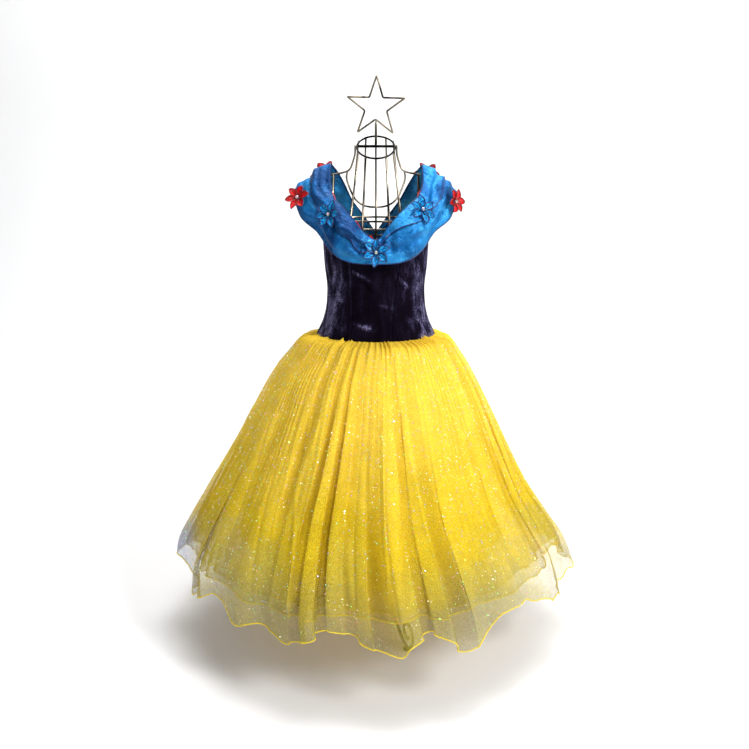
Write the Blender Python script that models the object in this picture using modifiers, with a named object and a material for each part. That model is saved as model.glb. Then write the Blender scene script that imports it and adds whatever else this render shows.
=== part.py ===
# A girl's princess costume dress on a wire dress form with a star finial.
# Metres, +Z up. The front of the dress faces -Y, +X is the viewer's right, and
# the origin lies on the floor under the pole of the stand.
# Angles are degrees round the figure: 0 at the front, 90 at +X, 180 at the back.

import math
from collections import namedtuple

import bmesh
import bpy
import numpy as np
from mathutils import Matrix, Vector

# Cloth walls and the gap that touching pieces keep
SEAM_GAP = 0.0003
VELVET = 0.0015
SATIN = 0.0012
TULLE = 0.0011
PETAL = 0.0010

# Heights of the dress
BASQUE_Z = 0.630

# The wire form
WIRE_R = 0.0016
LEG_R = 0.0030
ROD_R = 0.0024
NECK_BAR_R = 0.0027
POLE_R = 0.0080
NECK_Z = 0.999
NECK_RING_R = 0.037
NECK_TILT = 35.0
STAR_R = 0.0585
STAR_INNER_R = STAR_R * math.sin(math.radians(18)) / math.sin(math.radians(54))
STAR_LEAN = 1.5
STAR_Z = 1.0740
CAGE_FOOT_Z = 0.590
SHOULDER_WIRE_Z = 0.9465
WIRE_PITCH = 2 * WIRE_R + SEAM_GAP

# The stand
LEG_ANGLES = {"front": 22.0, "right_back": 142.0, "left_back": -98.0}
LEG_TOP_Z = 0.300
SCROLL_R = 0.030
SCROLL_END_R = 0.010
SCROLL_TURNS = 1.15
GLIDE_R = 0.0075
GLIDE_H = 0.004
POLE_FOOT_Z = 0.110

Section = namedtuple("Section", "height half_width half_depth")
BODICE = [
    Section(0.630, 0.1210, 0.0940),
    Section(0.645, 0.1140, 0.0890),
    Section(0.660, 0.1075, 0.0845),
    Section(0.690, 0.1005, 0.0795),
    Section(0.724, 0.0985, 0.0780),
    Section(0.770, 0.1030, 0.0810),
    Section(0.820, 0.1055, 0.0840),
    Section(0.900, 0.1020, 0.0820),
]
CAGE = [
    Section(0.588, 0.1060, 0.0800),
    Section(0.650, 0.0980, 0.0750),
    Section(0.724, 0.0947, 0.0742),
    Section(0.780, 0.0960, 0.0740),
    Section(0.834, 0.0965, 0.0725),
    Section(0.862, 0.0950, 0.0670),
]

# The top edge of the bodice: its height where it is free, under the arms, and how
# nearly it keeps to the neckline of the collar, which is sewn to it
Edge = namedtuple("Edge", "angle height sewn")
BODICE_TOP = [
    Edge(0, 0.822, 1.0),
    Edge(48, 0.885, 1.0),
    Edge(62, 0.868, 0.4),
    Edge(74, 0.848, 0.0),
    Edge(90, 0.838, 0.0),
    Edge(106, 0.848, 0.0),
    Edge(132, 0.852, 0.0),
    Edge(156, 0.828, 0.0),
    Edge(180, 0.802, 0.0),
]
SEWN_INSET = 0.0011
SEWN_BELOW = 0.0030

# Where the bodice panels meet, as angles at the basque, the waist and the top
Seam = namedtuple("Seam", "basque waist top")
SEAMS = {
    "back_left": Seam(-180, -180, -180),
    "side_back_left": Seam(-103, -100, -103),
    "side_front_left": Seam(-54, -51, -52),
    "princess_left": Seam(-26, -30, -31),
    "princess_right": Seam(15, 22, 34),
    "side_front_right": Seam(50, 52, 56),
    "side_back_right": Seam(103, 100, 103),
    "back_right": Seam(180, 180, 180),
}
Panel = namedtuple("Panel", "name left right")
PANELS = [
    Panel("bodice_back_left", "back_left", "side_back_left"),
    Panel("bodice_side_left", "side_back_left", "side_front_left"),
    Panel("bodice_side_front_left", "side_front_left", "princess_left"),
    Panel("bodice_front", "princess_left", "princess_right"),
    Panel("bodice_side_front_right", "princess_right", "side_front_right"),
    Panel("bodice_side_right", "side_front_right", "side_back_right"),
    Panel("bodice_back_right", "side_back_right", "back_right"),
]
PANEL_COLUMN_ANGLE = 10.0
PANEL_ROWS = 7

# The off-the-shoulder collar all round, from the centre back and over the left
# shoulder: its neckline, its lower edge, how far it puffs out between them, and the
# share of its width that the turned-down cuff covers
Station = namedtuple(
    "Station", "angle neck_x neck_y neck_z low_x low_y low_z puff cuff"
)
COLLAR = [
    Station(-180, 0.0000, 0.0905, 0.8240, 0.0000, 0.1060, 0.7830, 0.011, 0.46),
    Station(-165, -0.0160, 0.0880, 0.8480, -0.0340, 0.1040, 0.7840, 0.012, 0.46),
    Station(-150, -0.0310, 0.0810, 0.8690, -0.0620, 0.0990, 0.7900, 0.014, 0.46),
    Station(-135, -0.0490, 0.0680, 0.8950, -0.0880, 0.0860, 0.8070, 0.014, 0.46),
    Station(-120, -0.0620, 0.0480, 0.9250, -0.1130, 0.0640, 0.8400, 0.012, 0.48),
    Station(-105, -0.0750, 0.0250, 0.9500, -0.1470, 0.0360, 0.8720, 0.009, 0.50),
    Station(-90, -0.0880, 0.0000, 0.9670, -0.1640, 0.0000, 0.9150, 0.006, 0.50),
    Station(-75, -0.0880, -0.0250, 0.9370, -0.1470, -0.0360, 0.8680, 0.009, 0.52),
    Station(-60, -0.0800, -0.0520, 0.9040, -0.1130, -0.0640, 0.8400, 0.012, 0.56),
    Station(-45, -0.0640, -0.0715, 0.8895, -0.0880, -0.0860, 0.8070, 0.015, 0.46),
    Station(-30, -0.0430, -0.0840, 0.8660, -0.0620, -0.0990, 0.7900, 0.014, 0.46),
    Station(-15, -0.0210, -0.0885, 0.8390, -0.0340, -0.1040, 0.7840, 0.012, 0.66),
    Station(0, 0.0010, -0.0905, 0.8262, 0.0000, -0.1060, 0.7830, 0.011, 0.42),
    Station(15, 0.0230, -0.0885, 0.8510, 0.0340, -0.1040, 0.7840, 0.012, 0.22),
    Station(30, 0.0450, -0.0840, 0.8770, 0.0620, -0.0990, 0.7900, 0.014, 0.30),
    Station(45, 0.0660, -0.0715, 0.8955, 0.0880, -0.0860, 0.8070, 0.015, 0.42),
    Station(60, 0.0820, -0.0520, 0.9090, 0.1130, -0.0640, 0.8400, 0.012, 0.50),
    Station(75, 0.0900, -0.0250, 0.9370, 0.1470, -0.0360, 0.8680, 0.009, 0.54),
    Station(90, 0.0900, 0.0000, 0.9640, 0.1600, 0.0000, 0.9150, 0.006, 0.58),
    Station(105, 0.0780, 0.0250, 0.9480, 0.1450, 0.0360, 0.8720, 0.009, 0.52),
    Station(120, 0.0640, 0.0480, 0.9240, 0.1130, 0.0640, 0.8400, 0.012, 0.48),
    Station(135, 0.0490, 0.0680, 0.8950, 0.0880, 0.0860, 0.8070, 0.014, 0.46),
    Station(150, 0.0310, 0.0810, 0.8690, 0.0620, 0.0990, 0.7900, 0.014, 0.46),
    Station(165, 0.0160, 0.0880, 0.8480, 0.0340, 0.1040, 0.7840, 0.012, 0.46),
    Station(180, 0.0000, 0.0905, 0.8240, 0.0000, 0.1060, 0.7830, 0.011, 0.46),
]
# Creases that run down the collar, as height of the ridge at its middle
Crease = namedtuple("Crease", "angle half_width height")
CREASES = [
    Crease(-78, 6, 0.0020),
    Crease(-48, 7, -0.0030),
    Crease(-27, 6, 0.0040),
    Crease(-14, 5, -0.0030),
    Crease(14, 6, -0.0020),
    Crease(36, 8, 0.0030),
    Crease(58, 7, -0.0025),
    Crease(80, 6, 0.0020),
    Crease(140, 9, 0.0030),
    Crease(165, 7, -0.0020),
    Crease(-150, 8, 0.0030),
    Crease(-120, 8, -0.0020),
]
COLLAR_COLUMNS = 48
# How far the red facing stands above the neckline
Rise = namedtuple("Rise", "angle rise")
FACING = [
    Rise(-84, -0.004),
    Rise(-70, -0.003),
    Rise(-62, 0.001),
    Rise(-52, -0.005),
    Rise(-32, -0.005),
    Rise(-22, 0.001),
    Rise(-16, -0.004),
    Rise(-8, 0.003),
    Rise(3, -0.004),
    Rise(60, -0.005),
    Rise(72, 0.002),
    Rise(84, 0.001),
]
CUFF_LIFT = 0.0034
FOLD_LIFT = 0.0031

# The organza flowers: place on the collar as an angle and a share of its width
Flower = namedtuple("Flower", "name angle share radius turn lift colour")
FLOWERS = [
    Flower("flower_centre", 0, 0.60, 0.0300, 8, 0.0033, "blue"),
    Flower("flower_left", -52, 0.36, 0.0290, 20, 0.0039, "blue"),
    Flower("flower_right", 51, 0.26, 0.0300, 0, 0.0050, "blue"),
    Flower("flower_shoulder_left", -82, 0.90, 0.0270, 14, 0.0027, "red"),
    Flower("flower_shoulder_right", 85, 0.97, 0.0270, 30, 0.0024, "red"),
    Flower("flower_back_left", -103, 0.26, 0.0280, 5, 0.0045, "red"),
    Flower("flower_back_right", 103, 0.34, 0.0280, 22, 0.0042, "red"),
]
PETALS = 6
PETAL_STEPS = 4
PETAL_CUP = 0.0060
BEAD_R = 0.0036
BEAD_H = 0.0036

# The skirt's outside line without its folds, the sideways hang of each level,
# how much of a flute's reach shows there, the depth of the gathers and the
# spacing of the layers
Level = namedtuple("Level", "height half_width half_depth hang flute gather spacing")
SKIRT = [
    Level(0.6400, 0.1140, 0.0884, 0.000, 0.00, 0.0000, 0.0008),
    Level(0.6280, 0.1184, 0.0918, 0.000, 0.00, 0.0000, 0.0008),
    Level(0.6210, 0.1480, 0.1200, 0.000, 0.05, 0.0030, 0.0040),
    Level(0.6000, 0.1680, 0.1420, -0.002, 0.10, 0.0036, 0.0055),
    Level(0.5600, 0.1960, 0.1740, -0.006, 0.18, 0.0036, 0.0065),
    Level(0.4900, 0.2290, 0.2120, -0.008, 0.32, 0.0034, 0.0080),
    Level(0.4000, 0.2680, 0.2550, -0.012, 0.50, 0.0032, 0.0090),
    Level(0.3200, 0.3060, 0.2950, -0.016, 0.66, 0.0030, 0.0100),
    Level(0.2500, 0.3440, 0.3360, -0.013, 0.80, 0.0030, 0.0110),
    Level(0.1900, 0.3720, 0.3640, -0.008, 0.92, 0.0030, 0.0120),
    Level(0.1300, 0.3830, 0.3760, 0.000, 1.00, 0.0030, 0.0130),
]
# The large flutes that stand out at the hem
Flute = namedtuple("Flute", "angle half_width reach")
FLUTES = [
    Flute(-158, 8, 0.027),
    Flute(-136, 7, 0.021),
    Flute(-112, 8, 0.027),
    Flute(-84, 12, 0.037),
    Flute(-58, 8, 0.021),
    Flute(-40, 6, 0.027),
    Flute(-20, 9, 0.020),
    Flute(5, 7, 0.033),
    Flute(24, 6, 0.030),
    Flute(43, 8, 0.018),
    Flute(62, 7, 0.022),
    Flute(84, 10, 0.035),
    Flute(106, 8, 0.022),
    Flute(126, 7, 0.027),
    Flute(145, 7, 0.020),
    Flute(163, 8, 0.034),
    Flute(-178, 7, 0.030),
]
GATHERS = 50
Layer = namedtuple("Layer", "name hem order columns levels waver")
LAYERS = [
    Layer("skirt_top_tulle", 0.145, 0, 3 * GATHERS, 6, 1.000),
    Layer("skirt_second_tulle", 0.183, 1, 90, 5, 0.005),
    Layer("skirt_third_tulle", 0.194, 2, 66, 4, 0.005),
    Layer("skirt_slip", 0.198, 3, 44, 4, 0.005),
]
LAYER_DROP = 0.0022
# The rise and fall of the longest hem, from its mean height
Hem = namedtuple("Hem", "angle rise")
HEM = [
    Hem(-180, -0.004),
    Hem(-158, 0.010),
    Hem(-136, -0.010),
    Hem(-112, 0.008),
    Hem(-92, 0.014),
    Hem(-75, 0.016),
    Hem(-62, -0.010),
    Hem(-52, 0.016),
    Hem(-41, -0.008),
    Hem(-35, 0.002),
    Hem(-23, -0.012),
    Hem(-12, 0.018),
    Hem(6, -0.013),
    Hem(15, 0.013),
    Hem(25, -0.024),
    Hem(43, 0.018),
    Hem(66, -0.018),
    Hem(86, -0.010),
    Hem(104, 0.012),
    Hem(126, -0.012),
    Hem(145, 0.010),
    Hem(163, -0.012),
    Hem(180, -0.004),
]
# How far inside the third layer the slip falls, at the waist and at its hem
SLIP_FALL = 0.070

Rib = namedtuple("Rib", "name neck body")
RIBS = [
    Rib("rib_front", 0, 0),
    Rib("rib_front_left_1", -29, -15.8),
    Rib("rib_front_left_2", -57, -31.5),
    Rib("rib_front_right_1", 29, 15.8),
    Rib("rib_front_right_2", 57, 31.5),
    Rib("rib_back", 180, 180),
    Rib("rib_back_left_1", -151, -164.2),
    Rib("rib_back_left_2", -123, -148.5),
    Rib("rib_back_right_1", 151, 164.2),
    Rib("rib_back_right_2", 123, 148.5),
]
SHOULDER_RIBS = {
    "rib_shoulder_front_left": -62,
    "rib_shoulder_front_right": 62,
    "rib_shoulder_back_left": -118,
    "rib_shoulder_back_right": 118,
}
RIB_HEIGHTS = (0.860, 0.834, 0.780, 0.724, 0.650, 0.588)
RINGS = {"ring_chest": 0.860, "ring_bust": 0.834, "ring_waist": 0.724}
RING_ANGLES = (0, 15.8, 31.5, 46, 62, 76, 90, 104, 118, 133, 148.5, 164.2)
# The scoop wire hangs from the shoulders: its height where it passes each rib
SCOOP_HEIGHTS = {-57: 0.904, -29: 0.890, 0: 0.887, 29: 0.890, 57: 0.904}
SCOOP_END_X = 0.0562

COLOURS = {
    "velvet": ((0.012, 0.010, 0.028), 0.75, 0.0),
    "satin": ((0.010, 0.150, 0.480), 0.35, 0.0),
    "facing": ((0.700, 0.010, 0.020), 0.45, 0.0),
    "tulle": ((0.860, 0.600, 0.030), 0.60, 0.0),
    "slip": ((0.880, 0.640, 0.030), 0.45, 0.0),
    "blue": ((0.010, 0.250, 0.800), 0.30, 0.0),
    "red": ((0.750, 0.008, 0.012), 0.40, 0.0),
    "wire": ((0.300, 0.250, 0.170), 0.35, 1.0),
    "stand": ((0.030, 0.028, 0.026), 0.45, 1.0),
}


def clear_scene():
    for obj in list(bpy.data.objects):
        bpy.data.objects.remove(obj, do_unlink=True)


def material(name):
    """A Principled material with the colour, roughness and metallic value of COLOURS."""
    found = bpy.data.materials.get(name)
    if found:
        return found
    colour, roughness, metallic = COLOURS[name]
    made = bpy.data.materials.new(name)
    made.use_nodes = True
    shader = made.node_tree.nodes["Principled BSDF"]
    shader.inputs["Base Color"].default_value = (*colour, 1)
    shader.inputs["Roughness"].default_value = roughness
    shader.inputs["Metallic"].default_value = metallic
    return made


def put(obj, collection, material_name):
    for old in obj.users_collection:
        old.objects.unlink(obj)
    collection.objects.link(obj)
    obj.data.materials.clear()
    obj.data.materials.append(material(material_name))
    return obj


def through(knots, values, at):
    """A smooth curve through the knots that never overshoots them."""
    knots, values, at = (np.asarray(a, float) for a in (knots, values, at))
    rise = np.diff(values) / np.diff(knots)
    product = rise[1:] * rise[:-1]
    total = np.where(product > 0, rise[1:] + rise[:-1], 1.0)
    slopes = np.concatenate(
        [rise[:1], np.where(product > 0, 2 * product / total, 0.0), rise[-1:]]
    )
    i = np.clip(np.searchsorted(knots, at, side="right") - 1, 0, len(knots) - 2)
    width = knots[i + 1] - knots[i]
    t = np.clip((at - knots[i]) / width, 0, 1)
    return (
        values[i] * (1 + 2 * t) * (1 - t) ** 2
        + values[i + 1] * t * t * (3 - 2 * t)
        + width * slopes[i] * t * (1 - t) ** 2
        - width * slopes[i + 1] * t * t * (1 - t)
    )


def column(rows, name):
    return [getattr(row, name) for row in rows]


def apart(angle, middle):
    """The signed difference of two angles in degrees, from -180 to 180."""
    return (np.asarray(angle, float) - middle + 180) % 360 - 180


def bumps(rows, angle, size):
    """The sum of one bell-shaped bump for each row, of that row's size."""
    return sum(
        getattr(row, size) * np.exp(-((apart(angle, row.angle) / row.half_width) ** 2))
        for row in rows
    )


def oval(rows, angle, height, inset=0.0):
    """A point on the oval section at that height, moved in by inset."""
    turn = np.radians(angle)
    levels = column(rows, "height")
    wide = through(levels, column(rows, "half_width"), height) - inset
    deep = through(levels, column(rows, "half_depth"), height) - inset
    return np.stack(
        [wide * np.sin(turn), -deep * np.cos(turn), height + 0 * turn], axis=-1
    )


def loft(name, points, around, thickness, collection, material_name):
    """A cloth wall: the surface through a grid of points, thickened inwards."""
    rows, columns = points.shape[:2]
    mesh = bpy.data.meshes.new(name)
    bm = bmesh.new()
    grid = [[bm.verts.new(p) for p in row] for row in points]
    for j in range(rows - 1):
        for i in range(columns if around else columns - 1):
            k = (i + 1) % columns
            bm.faces.new((grid[j][i], grid[j][k], grid[j + 1][k], grid[j + 1][i]))
    bm.to_mesh(mesh)
    bm.free()
    mesh.shade_smooth()
    obj = bpy.data.objects.new(name, mesh)
    wall = obj.modifiers.new("Wall", "SOLIDIFY")
    wall.thickness = thickness
    wall.offset = -1.0
    wall.use_even_offset = True
    return put(obj, collection, material_name)


def panel_wall(name, outside, inside, collection, material_name):
    """A cloth panel between two grids of points, with straight cut edges."""
    rows, columns = outside.shape[:2]
    mesh = bpy.data.meshes.new(name)
    bm = bmesh.new()
    outer = [[bm.verts.new(p) for p in row] for row in outside]
    inner = [[bm.verts.new(p) for p in row] for row in inside]
    for j in range(rows - 1):
        for i in range(columns - 1):
            bm.faces.new(
                (outer[j][i], outer[j][i + 1], outer[j + 1][i + 1], outer[j + 1][i])
            )
            bm.faces.new(
                (inner[j][i], inner[j + 1][i], inner[j + 1][i + 1], inner[j][i + 1])
            )
    rim = [(0, i) for i in range(columns - 1)]
    rim += [(j, columns - 1) for j in range(rows - 1)]
    rim += [(rows - 1, i) for i in range(columns - 1, 0, -1)]
    rim += [(j, 0) for j in range(rows - 1, 0, -1)]
    for (j, i), (l, k) in zip(rim, rim[1:] + rim[:1]):
        bm.faces.new((outer[j][i], inner[j][i], inner[l][k], outer[l][k]))
    bmesh.ops.recalc_face_normals(bm, faces=bm.faces)
    bm.to_mesh(mesh)
    bm.free()
    mesh.shade_smooth()
    mesh.set_sharp_from_angle(angle=math.radians(50))
    return put(bpy.data.objects.new(name, mesh), collection, material_name)


def wire(name, points, radius, collection, material_name, closed=False, taper=1.0):
    """A bent wire through the points, whose end is a share of its thickness."""
    curve = bpy.data.curves.new(name, "CURVE")
    curve.dimensions = "3D"
    curve.bevel_depth = radius
    curve.bevel_resolution = 1
    curve.use_fill_caps = not closed
    spline = curve.splines.new("POLY")
    spline.points.add(len(points) - 1)
    for point, place in zip(spline.points, points):
        point.co = (*place, 1)
    spline.points[-1].radius = taper
    spline.use_cyclic_u = closed
    return put(bpy.data.objects.new(name, curve), collection, material_name)


def rod(name, start, end, radius, sides, collection, material_name):
    """A straight round bar between two points."""
    start, end = Vector(start), Vector(end)
    bpy.ops.mesh.primitive_cylinder_add(
        vertices=sides, radius=radius, depth=(end - start).length
    )
    obj = bpy.context.object
    obj.name = name
    obj.data.name = name
    turn = (end - start).to_track_quat("Z", "Y").to_matrix().to_4x4()
    obj.matrix_world = Matrix.Translation((start + end) / 2) @ turn
    obj.data.shade_smooth()
    obj.data.set_sharp_from_angle(angle=math.radians(40))
    return put(obj, collection, material_name)


def bodice_point(angle, share, inset):
    """A point of the bodice, a share of the way from the basque to its top edge."""
    angles = column(BODICE_TOP, "angle")
    top = through(angles, column(BODICE_TOP, "height"), abs(angle))
    sewn = through(angles, column(BODICE_TOP, "sewn"), abs(angle))
    plain = oval(BODICE, angle, BASQUE_Z + (top - BASQUE_Z) * share, inset)
    neck = collar_point(angle, 0.035 + 0 * angle)
    flat = neck * np.array([1.0, 1.0, 0.0])
    reach = np.linalg.norm(flat, axis=-1, keepdims=True)
    goal = neck - flat / reach * (SEWN_INSET + inset)
    goal[..., 2] -= SEWN_BELOW
    edge = oval(BODICE, angle, top, inset)
    pull = sewn * np.clip((share - 0.55) / 0.45, 0, 1) ** 1.5
    return plain + (goal - edge) * pull[..., None]


def bodice_panel(panel, collection):
    """One velvet panel, from the basque edge up to the edge under the collar."""
    share = np.linspace(0, 1, PANEL_ROWS + 1)[:, None]
    width = SEAMS[panel.right].waist - SEAMS[panel.left].waist
    across = np.linspace(0, 1, round(width / PANEL_COLUMN_ANGLE) + 1)[None, :]
    knots = (0.0, 0.45, 1.0)
    left = through(knots, SEAMS[panel.left], share)
    right = through(knots, SEAMS[panel.right], share)
    gap = math.degrees(SEAM_GAP / 2 / BODICE[4].half_depth)
    left, right = left + gap, right - gap
    angle = left + (right - left) * across
    share = share + 0 * across
    outside = bodice_point(angle, share, 0.0)
    inside = bodice_point(angle, share, VELVET)
    return panel_wall(panel.name, outside, inside, collection, "velvet")


def collar_value(name, angle):
    """A column of the collar's table at any angle."""
    return through(column(COLLAR, "angle"), column(COLLAR, name), apart(angle, 0))


def collar_base(angle, share):
    """The collar's surface before it puffs and creases."""
    neck = np.stack([collar_value(f"neck_{c}", angle) for c in "xyz"], axis=-1)
    low = np.stack([collar_value(f"low_{c}", angle) for c in "xyz"], axis=-1)
    return neck + (low - neck) * np.asarray(share)[..., None]


def collar_out(angle):
    """The direction that the collar faces at an angle, square to its width."""
    step = 2.0
    along = collar_base(angle + step, 0.5) - collar_base(angle - step, 0.5)
    down = collar_base(angle, 1.0) - collar_base(angle, 0.0)
    out = np.cross(down, along)
    return out / np.linalg.norm(out, axis=-1, keepdims=True)


def collar_point(angle, share, lift=0.0):
    """The finished outside of the collar, moved out by lift."""
    angle, share = np.broadcast_arrays(np.asarray(angle, float), share)
    arch = np.sin(np.pi * np.clip(share, 0, 1)) ** 0.8
    rise = collar_value("puff", angle) * arch
    rise = rise + bumps(CREASES, angle, "height") * np.sin(np.pi * share)
    return collar_base(angle, share) + collar_out(angle) * (rise + lift)[..., None]


def collar_tier(name, first, last, rows, lift, collection):
    """A tier of the collar, between two shares of its width."""
    angle = np.arange(COLLAR_COLUMNS)[None, :] * 360.0 / COLLAR_COLUMNS
    step = np.linspace(0, 1, rows + 1)[:, None]
    begin, end = first(angle), last(angle)
    share = end + (begin - end) * step
    near = np.clip(share / 0.115, 0, 1)
    points = collar_point(angle + 0 * step, share, lift[0] + (lift[1] - lift[0]) * near)
    return loft(name, points, True, SATIN, collection, "satin")


def collar(collection):
    """The lower tier from neckline to hem, and the cuff turned down over it."""

    def neck(angle):
        return 0.035 + 0 * angle

    def hem(angle):
        return 1.0 + 0 * angle

    def cuff_edge(angle):
        return collar_value("cuff", angle)

    def fold(angle):
        return 0 * angle

    collar_tier("collar_lower_tier", neck, hem, 5, (0.0, 0.0), collection)
    collar_tier("collar_cuff", fold, cuff_edge, 4, (FOLD_LIFT, CUFF_LIFT), collection)


def neck_facing(collection):
    """The red strip that edges the front neckline inside the collar."""
    angle = np.linspace(-84, 84, 29)[None, :]
    place = collar_point(angle, 0.035 + 0 * angle)
    middle = np.stack([place[..., 0], place[..., 1], 0 * angle], axis=-1)
    inward = -middle / np.linalg.norm(middle, axis=-1, keepdims=True)
    top = place + inward * (SEWN_INSET + VELVET + 5 * SEAM_GAP)
    top[..., 2] += through(column(FACING, "angle"), column(FACING, "rise"), angle)
    low = top + inward * 0.0035
    low[..., 2] -= 0.0100
    points = np.concatenate([low, top], axis=0)
    return loft("neck_facing", points, False, SATIN, collection, "facing")


def flower(row, collection):
    """An organza flower: pointed petals round a raised middle, as one body."""
    count = PETALS * PETAL_STEPS
    outline = (0.34, 0.74, 1.00, 0.74)
    mesh = bpy.data.meshes.new(row.name)
    bm = bmesh.new()

    def ring(shares, height):
        verts = []
        for i in range(count):
            turn = 2 * math.pi * i / count + math.radians(row.turn)
            reach = shares[i % PETAL_STEPS]
            cup = height + PETAL_CUP * (reach * row.radius / 0.03) ** 2
            verts.append(
                bm.verts.new(
                    (
                        reach * row.radius * math.sin(turn),
                        reach * row.radius * math.cos(turn),
                        cup,
                    )
                )
            )
        return verts

    inner = (BEAD_R / row.radius,) * PETAL_STEPS
    top, rim = ring(inner, PETAL), ring(outline, PETAL)
    low = ring(outline, 0.0)
    peak = bm.verts.new((0, 0, PETAL + BEAD_H))
    base = bm.verts.new((0, 0, 0))
    for i in range(count):
        k = (i + 1) % count
        bm.faces.new((peak, top[i], top[k]))
        bm.faces.new((top[i], rim[i], rim[k], top[k]))
        bm.faces.new((rim[i], low[i], low[k], rim[k]))
        bm.faces.new((base, low[k], low[i]))
    bmesh.ops.recalc_face_normals(bm, faces=bm.faces)
    bm.to_mesh(mesh)
    bm.free()
    obj = bpy.data.objects.new(row.name, mesh)
    place = collar_point(row.angle, row.share, row.lift)
    out = Vector(collar_out(row.angle))
    turn = out.to_track_quat("Z", "Y").to_matrix().to_4x4()
    obj.matrix_world = Matrix.Translation(Vector(place)) @ turn
    return put(obj, collection, row.colour)


def skirt_value(name, height):
    levels = SKIRT[::-1]
    return through(column(levels, "height"), column(levels, name), height)


def gather_wave(angle):
    """The gathers round the waist, uneven in spacing and depth."""
    turn = np.radians(angle)
    phase = GATHERS * turn + 1.1 * np.sin(3 * turn + 0.4) + 0.8 * np.sin(7 * turn)
    depth = 0.75 + 0.25 * np.sin(5 * turn + 1.0)
    return depth * np.cos(phase)


def hem_height(layer, angle):
    if layer.order == 0:
        wave = through(column(HEM, "angle"), column(HEM, "rise"), apart(angle, 0))
    else:
        turn = np.radians(angle)
        shift = 1.3 * layer.order
        wave = 0.6 * np.sin(5 * turn + shift) + 0.4 * np.sin(9 * turn + 2 * shift)
    return layer.hem + layer.waver * wave


def skirt_point(layer, angle, height):
    """A point on the outside of a layer of the skirt."""
    turn = np.radians(angle)
    inset = layer.order * skirt_value("spacing", height)
    soft = 1.0 - 0.16 * layer.order
    folds = soft * bumps(FLUTES, angle, "reach") * skirt_value("flute", height)
    if layer.order == 0:
        folds = folds + gather_wave(angle) * skirt_value("gather", height)
    elif layer.order == 3:
        down = np.clip((BASQUE_Z - height) / (BASQUE_Z - layer.hem), 0, 1)
        inset = inset + SLIP_FALL * down**1.5
    out = folds - inset
    wide = skirt_value("half_width", height) + out
    deep = skirt_value("half_depth", height) + out
    return np.stack(
        [
            skirt_value("hang", height) + wide * np.sin(turn),
            -deep * np.cos(turn),
            height - layer.order * LAYER_DROP,
        ],
        axis=-1,
    )


def skirt_layer(layer, collection):
    """A gathered layer of the skirt, from its sewn edge inside the bodice down."""
    angle = np.arange(layer.columns)[None, :] * 360.0 / layer.columns
    start = [0.640, 0.628, 0.616]
    rest = layer.levels - 2
    share = (np.arange(1, rest + 1) / rest)[:, None] ** 0.85
    hem = hem_height(layer, angle)
    upper = np.array(start)[:, None] + 0 * angle
    lower = start[-1] + (hem - start[-1]) * share
    height = np.concatenate([upper, lower], axis=0)[::-1]
    points = skirt_point(layer, angle + 0 * height, height)
    name = "slip" if layer.name == "skirt_slip" else "tulle"
    return loft(layer.name, points, True, TULLE, collection, name)


def neck_ring_point(angle, radius):
    """A point on the neck ring, which tips down to the front."""
    turn, tilt = math.radians(angle), math.radians(NECK_TILT)
    return np.array(
        [
            radius * math.sin(turn),
            -radius * math.cos(turn) * math.cos(tilt),
            NECK_Z - radius * math.cos(turn) * math.sin(tilt),
        ]
    )


def rib_path(rib):
    """A rib from beside the neck ring, over the chest or back, to the hip ring."""
    start = neck_ring_point(rib.neck, NECK_RING_R + WIRE_PITCH)
    body = [oval(CAGE, rib.body, h) for h in RIB_HEIGHTS]
    hollow = np.array([0.0, math.cos(math.radians(rib.neck)), 0.0]) * 0.004
    upper = [
        start + (body[0] - start) * t + hollow * math.sin(math.pi * t)
        for t in (0.0, 0.35, 0.70)
    ]
    return upper + body


def at_height(path, height):
    """The point of a falling path at a height."""
    path = np.array(path)[::-1]
    return np.array([np.interp(height, path[:, 2], path[:, i]) for i in range(3)])


def ring_path(height):
    """A ring just inside the ribs, bent where it passes each of them."""
    angles = [*RING_ANGLES, 180, *(-a for a in RING_ANGLES[:0:-1])]
    return [oval(CAGE, a, height, WIRE_PITCH) for a in angles]


def star_points():
    """A five-pointed star of bent wire with rounded corners."""
    corners = [
        (r * math.sin(a), r * math.cos(a))
        for i in range(10)
        for r, a in [
            (STAR_INNER_R if i % 2 else STAR_R, math.radians(36 * i + STAR_LEAN))
        ]
    ]
    points = []
    for i, corner in enumerate(corners):
        here = Vector(corner)
        for other in (corners[i - 1], corners[(i + 1) % 10]):
            side = (Vector(other) - here).normalized() * 0.0024
            x, z = here + side
            points.append((x, 0.0, STAR_Z + z))
    return points


def leg_path(angle):
    """A leg that sweeps out from the pole and curls up in a scroll at its foot."""
    reach = [POLE_R + LEG_R + SEAM_GAP, 0.017, 0.034, 0.064, 0.104, 0.144]
    height = [LEG_TOP_Z, 0.250, 0.170, 0.096, 0.044, 0.013]
    foot_z = GLIDE_H + SEAM_GAP + LEG_R
    middle = (0.172, foot_z + SCROLL_R)
    flat = list(zip(reach, height))
    steps = 15
    for i in range(steps + 1):
        share = i / steps
        radius = SCROLL_R + (SCROLL_END_R - SCROLL_R) * share
        turn = 2 * math.pi * SCROLL_TURNS * share
        flat.append(
            (middle[0] + radius * math.sin(turn), middle[1] - radius * math.cos(turn))
        )
    around = math.radians(angle)
    return [(r * math.sin(around), -r * math.cos(around), z) for r, z in flat]


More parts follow.
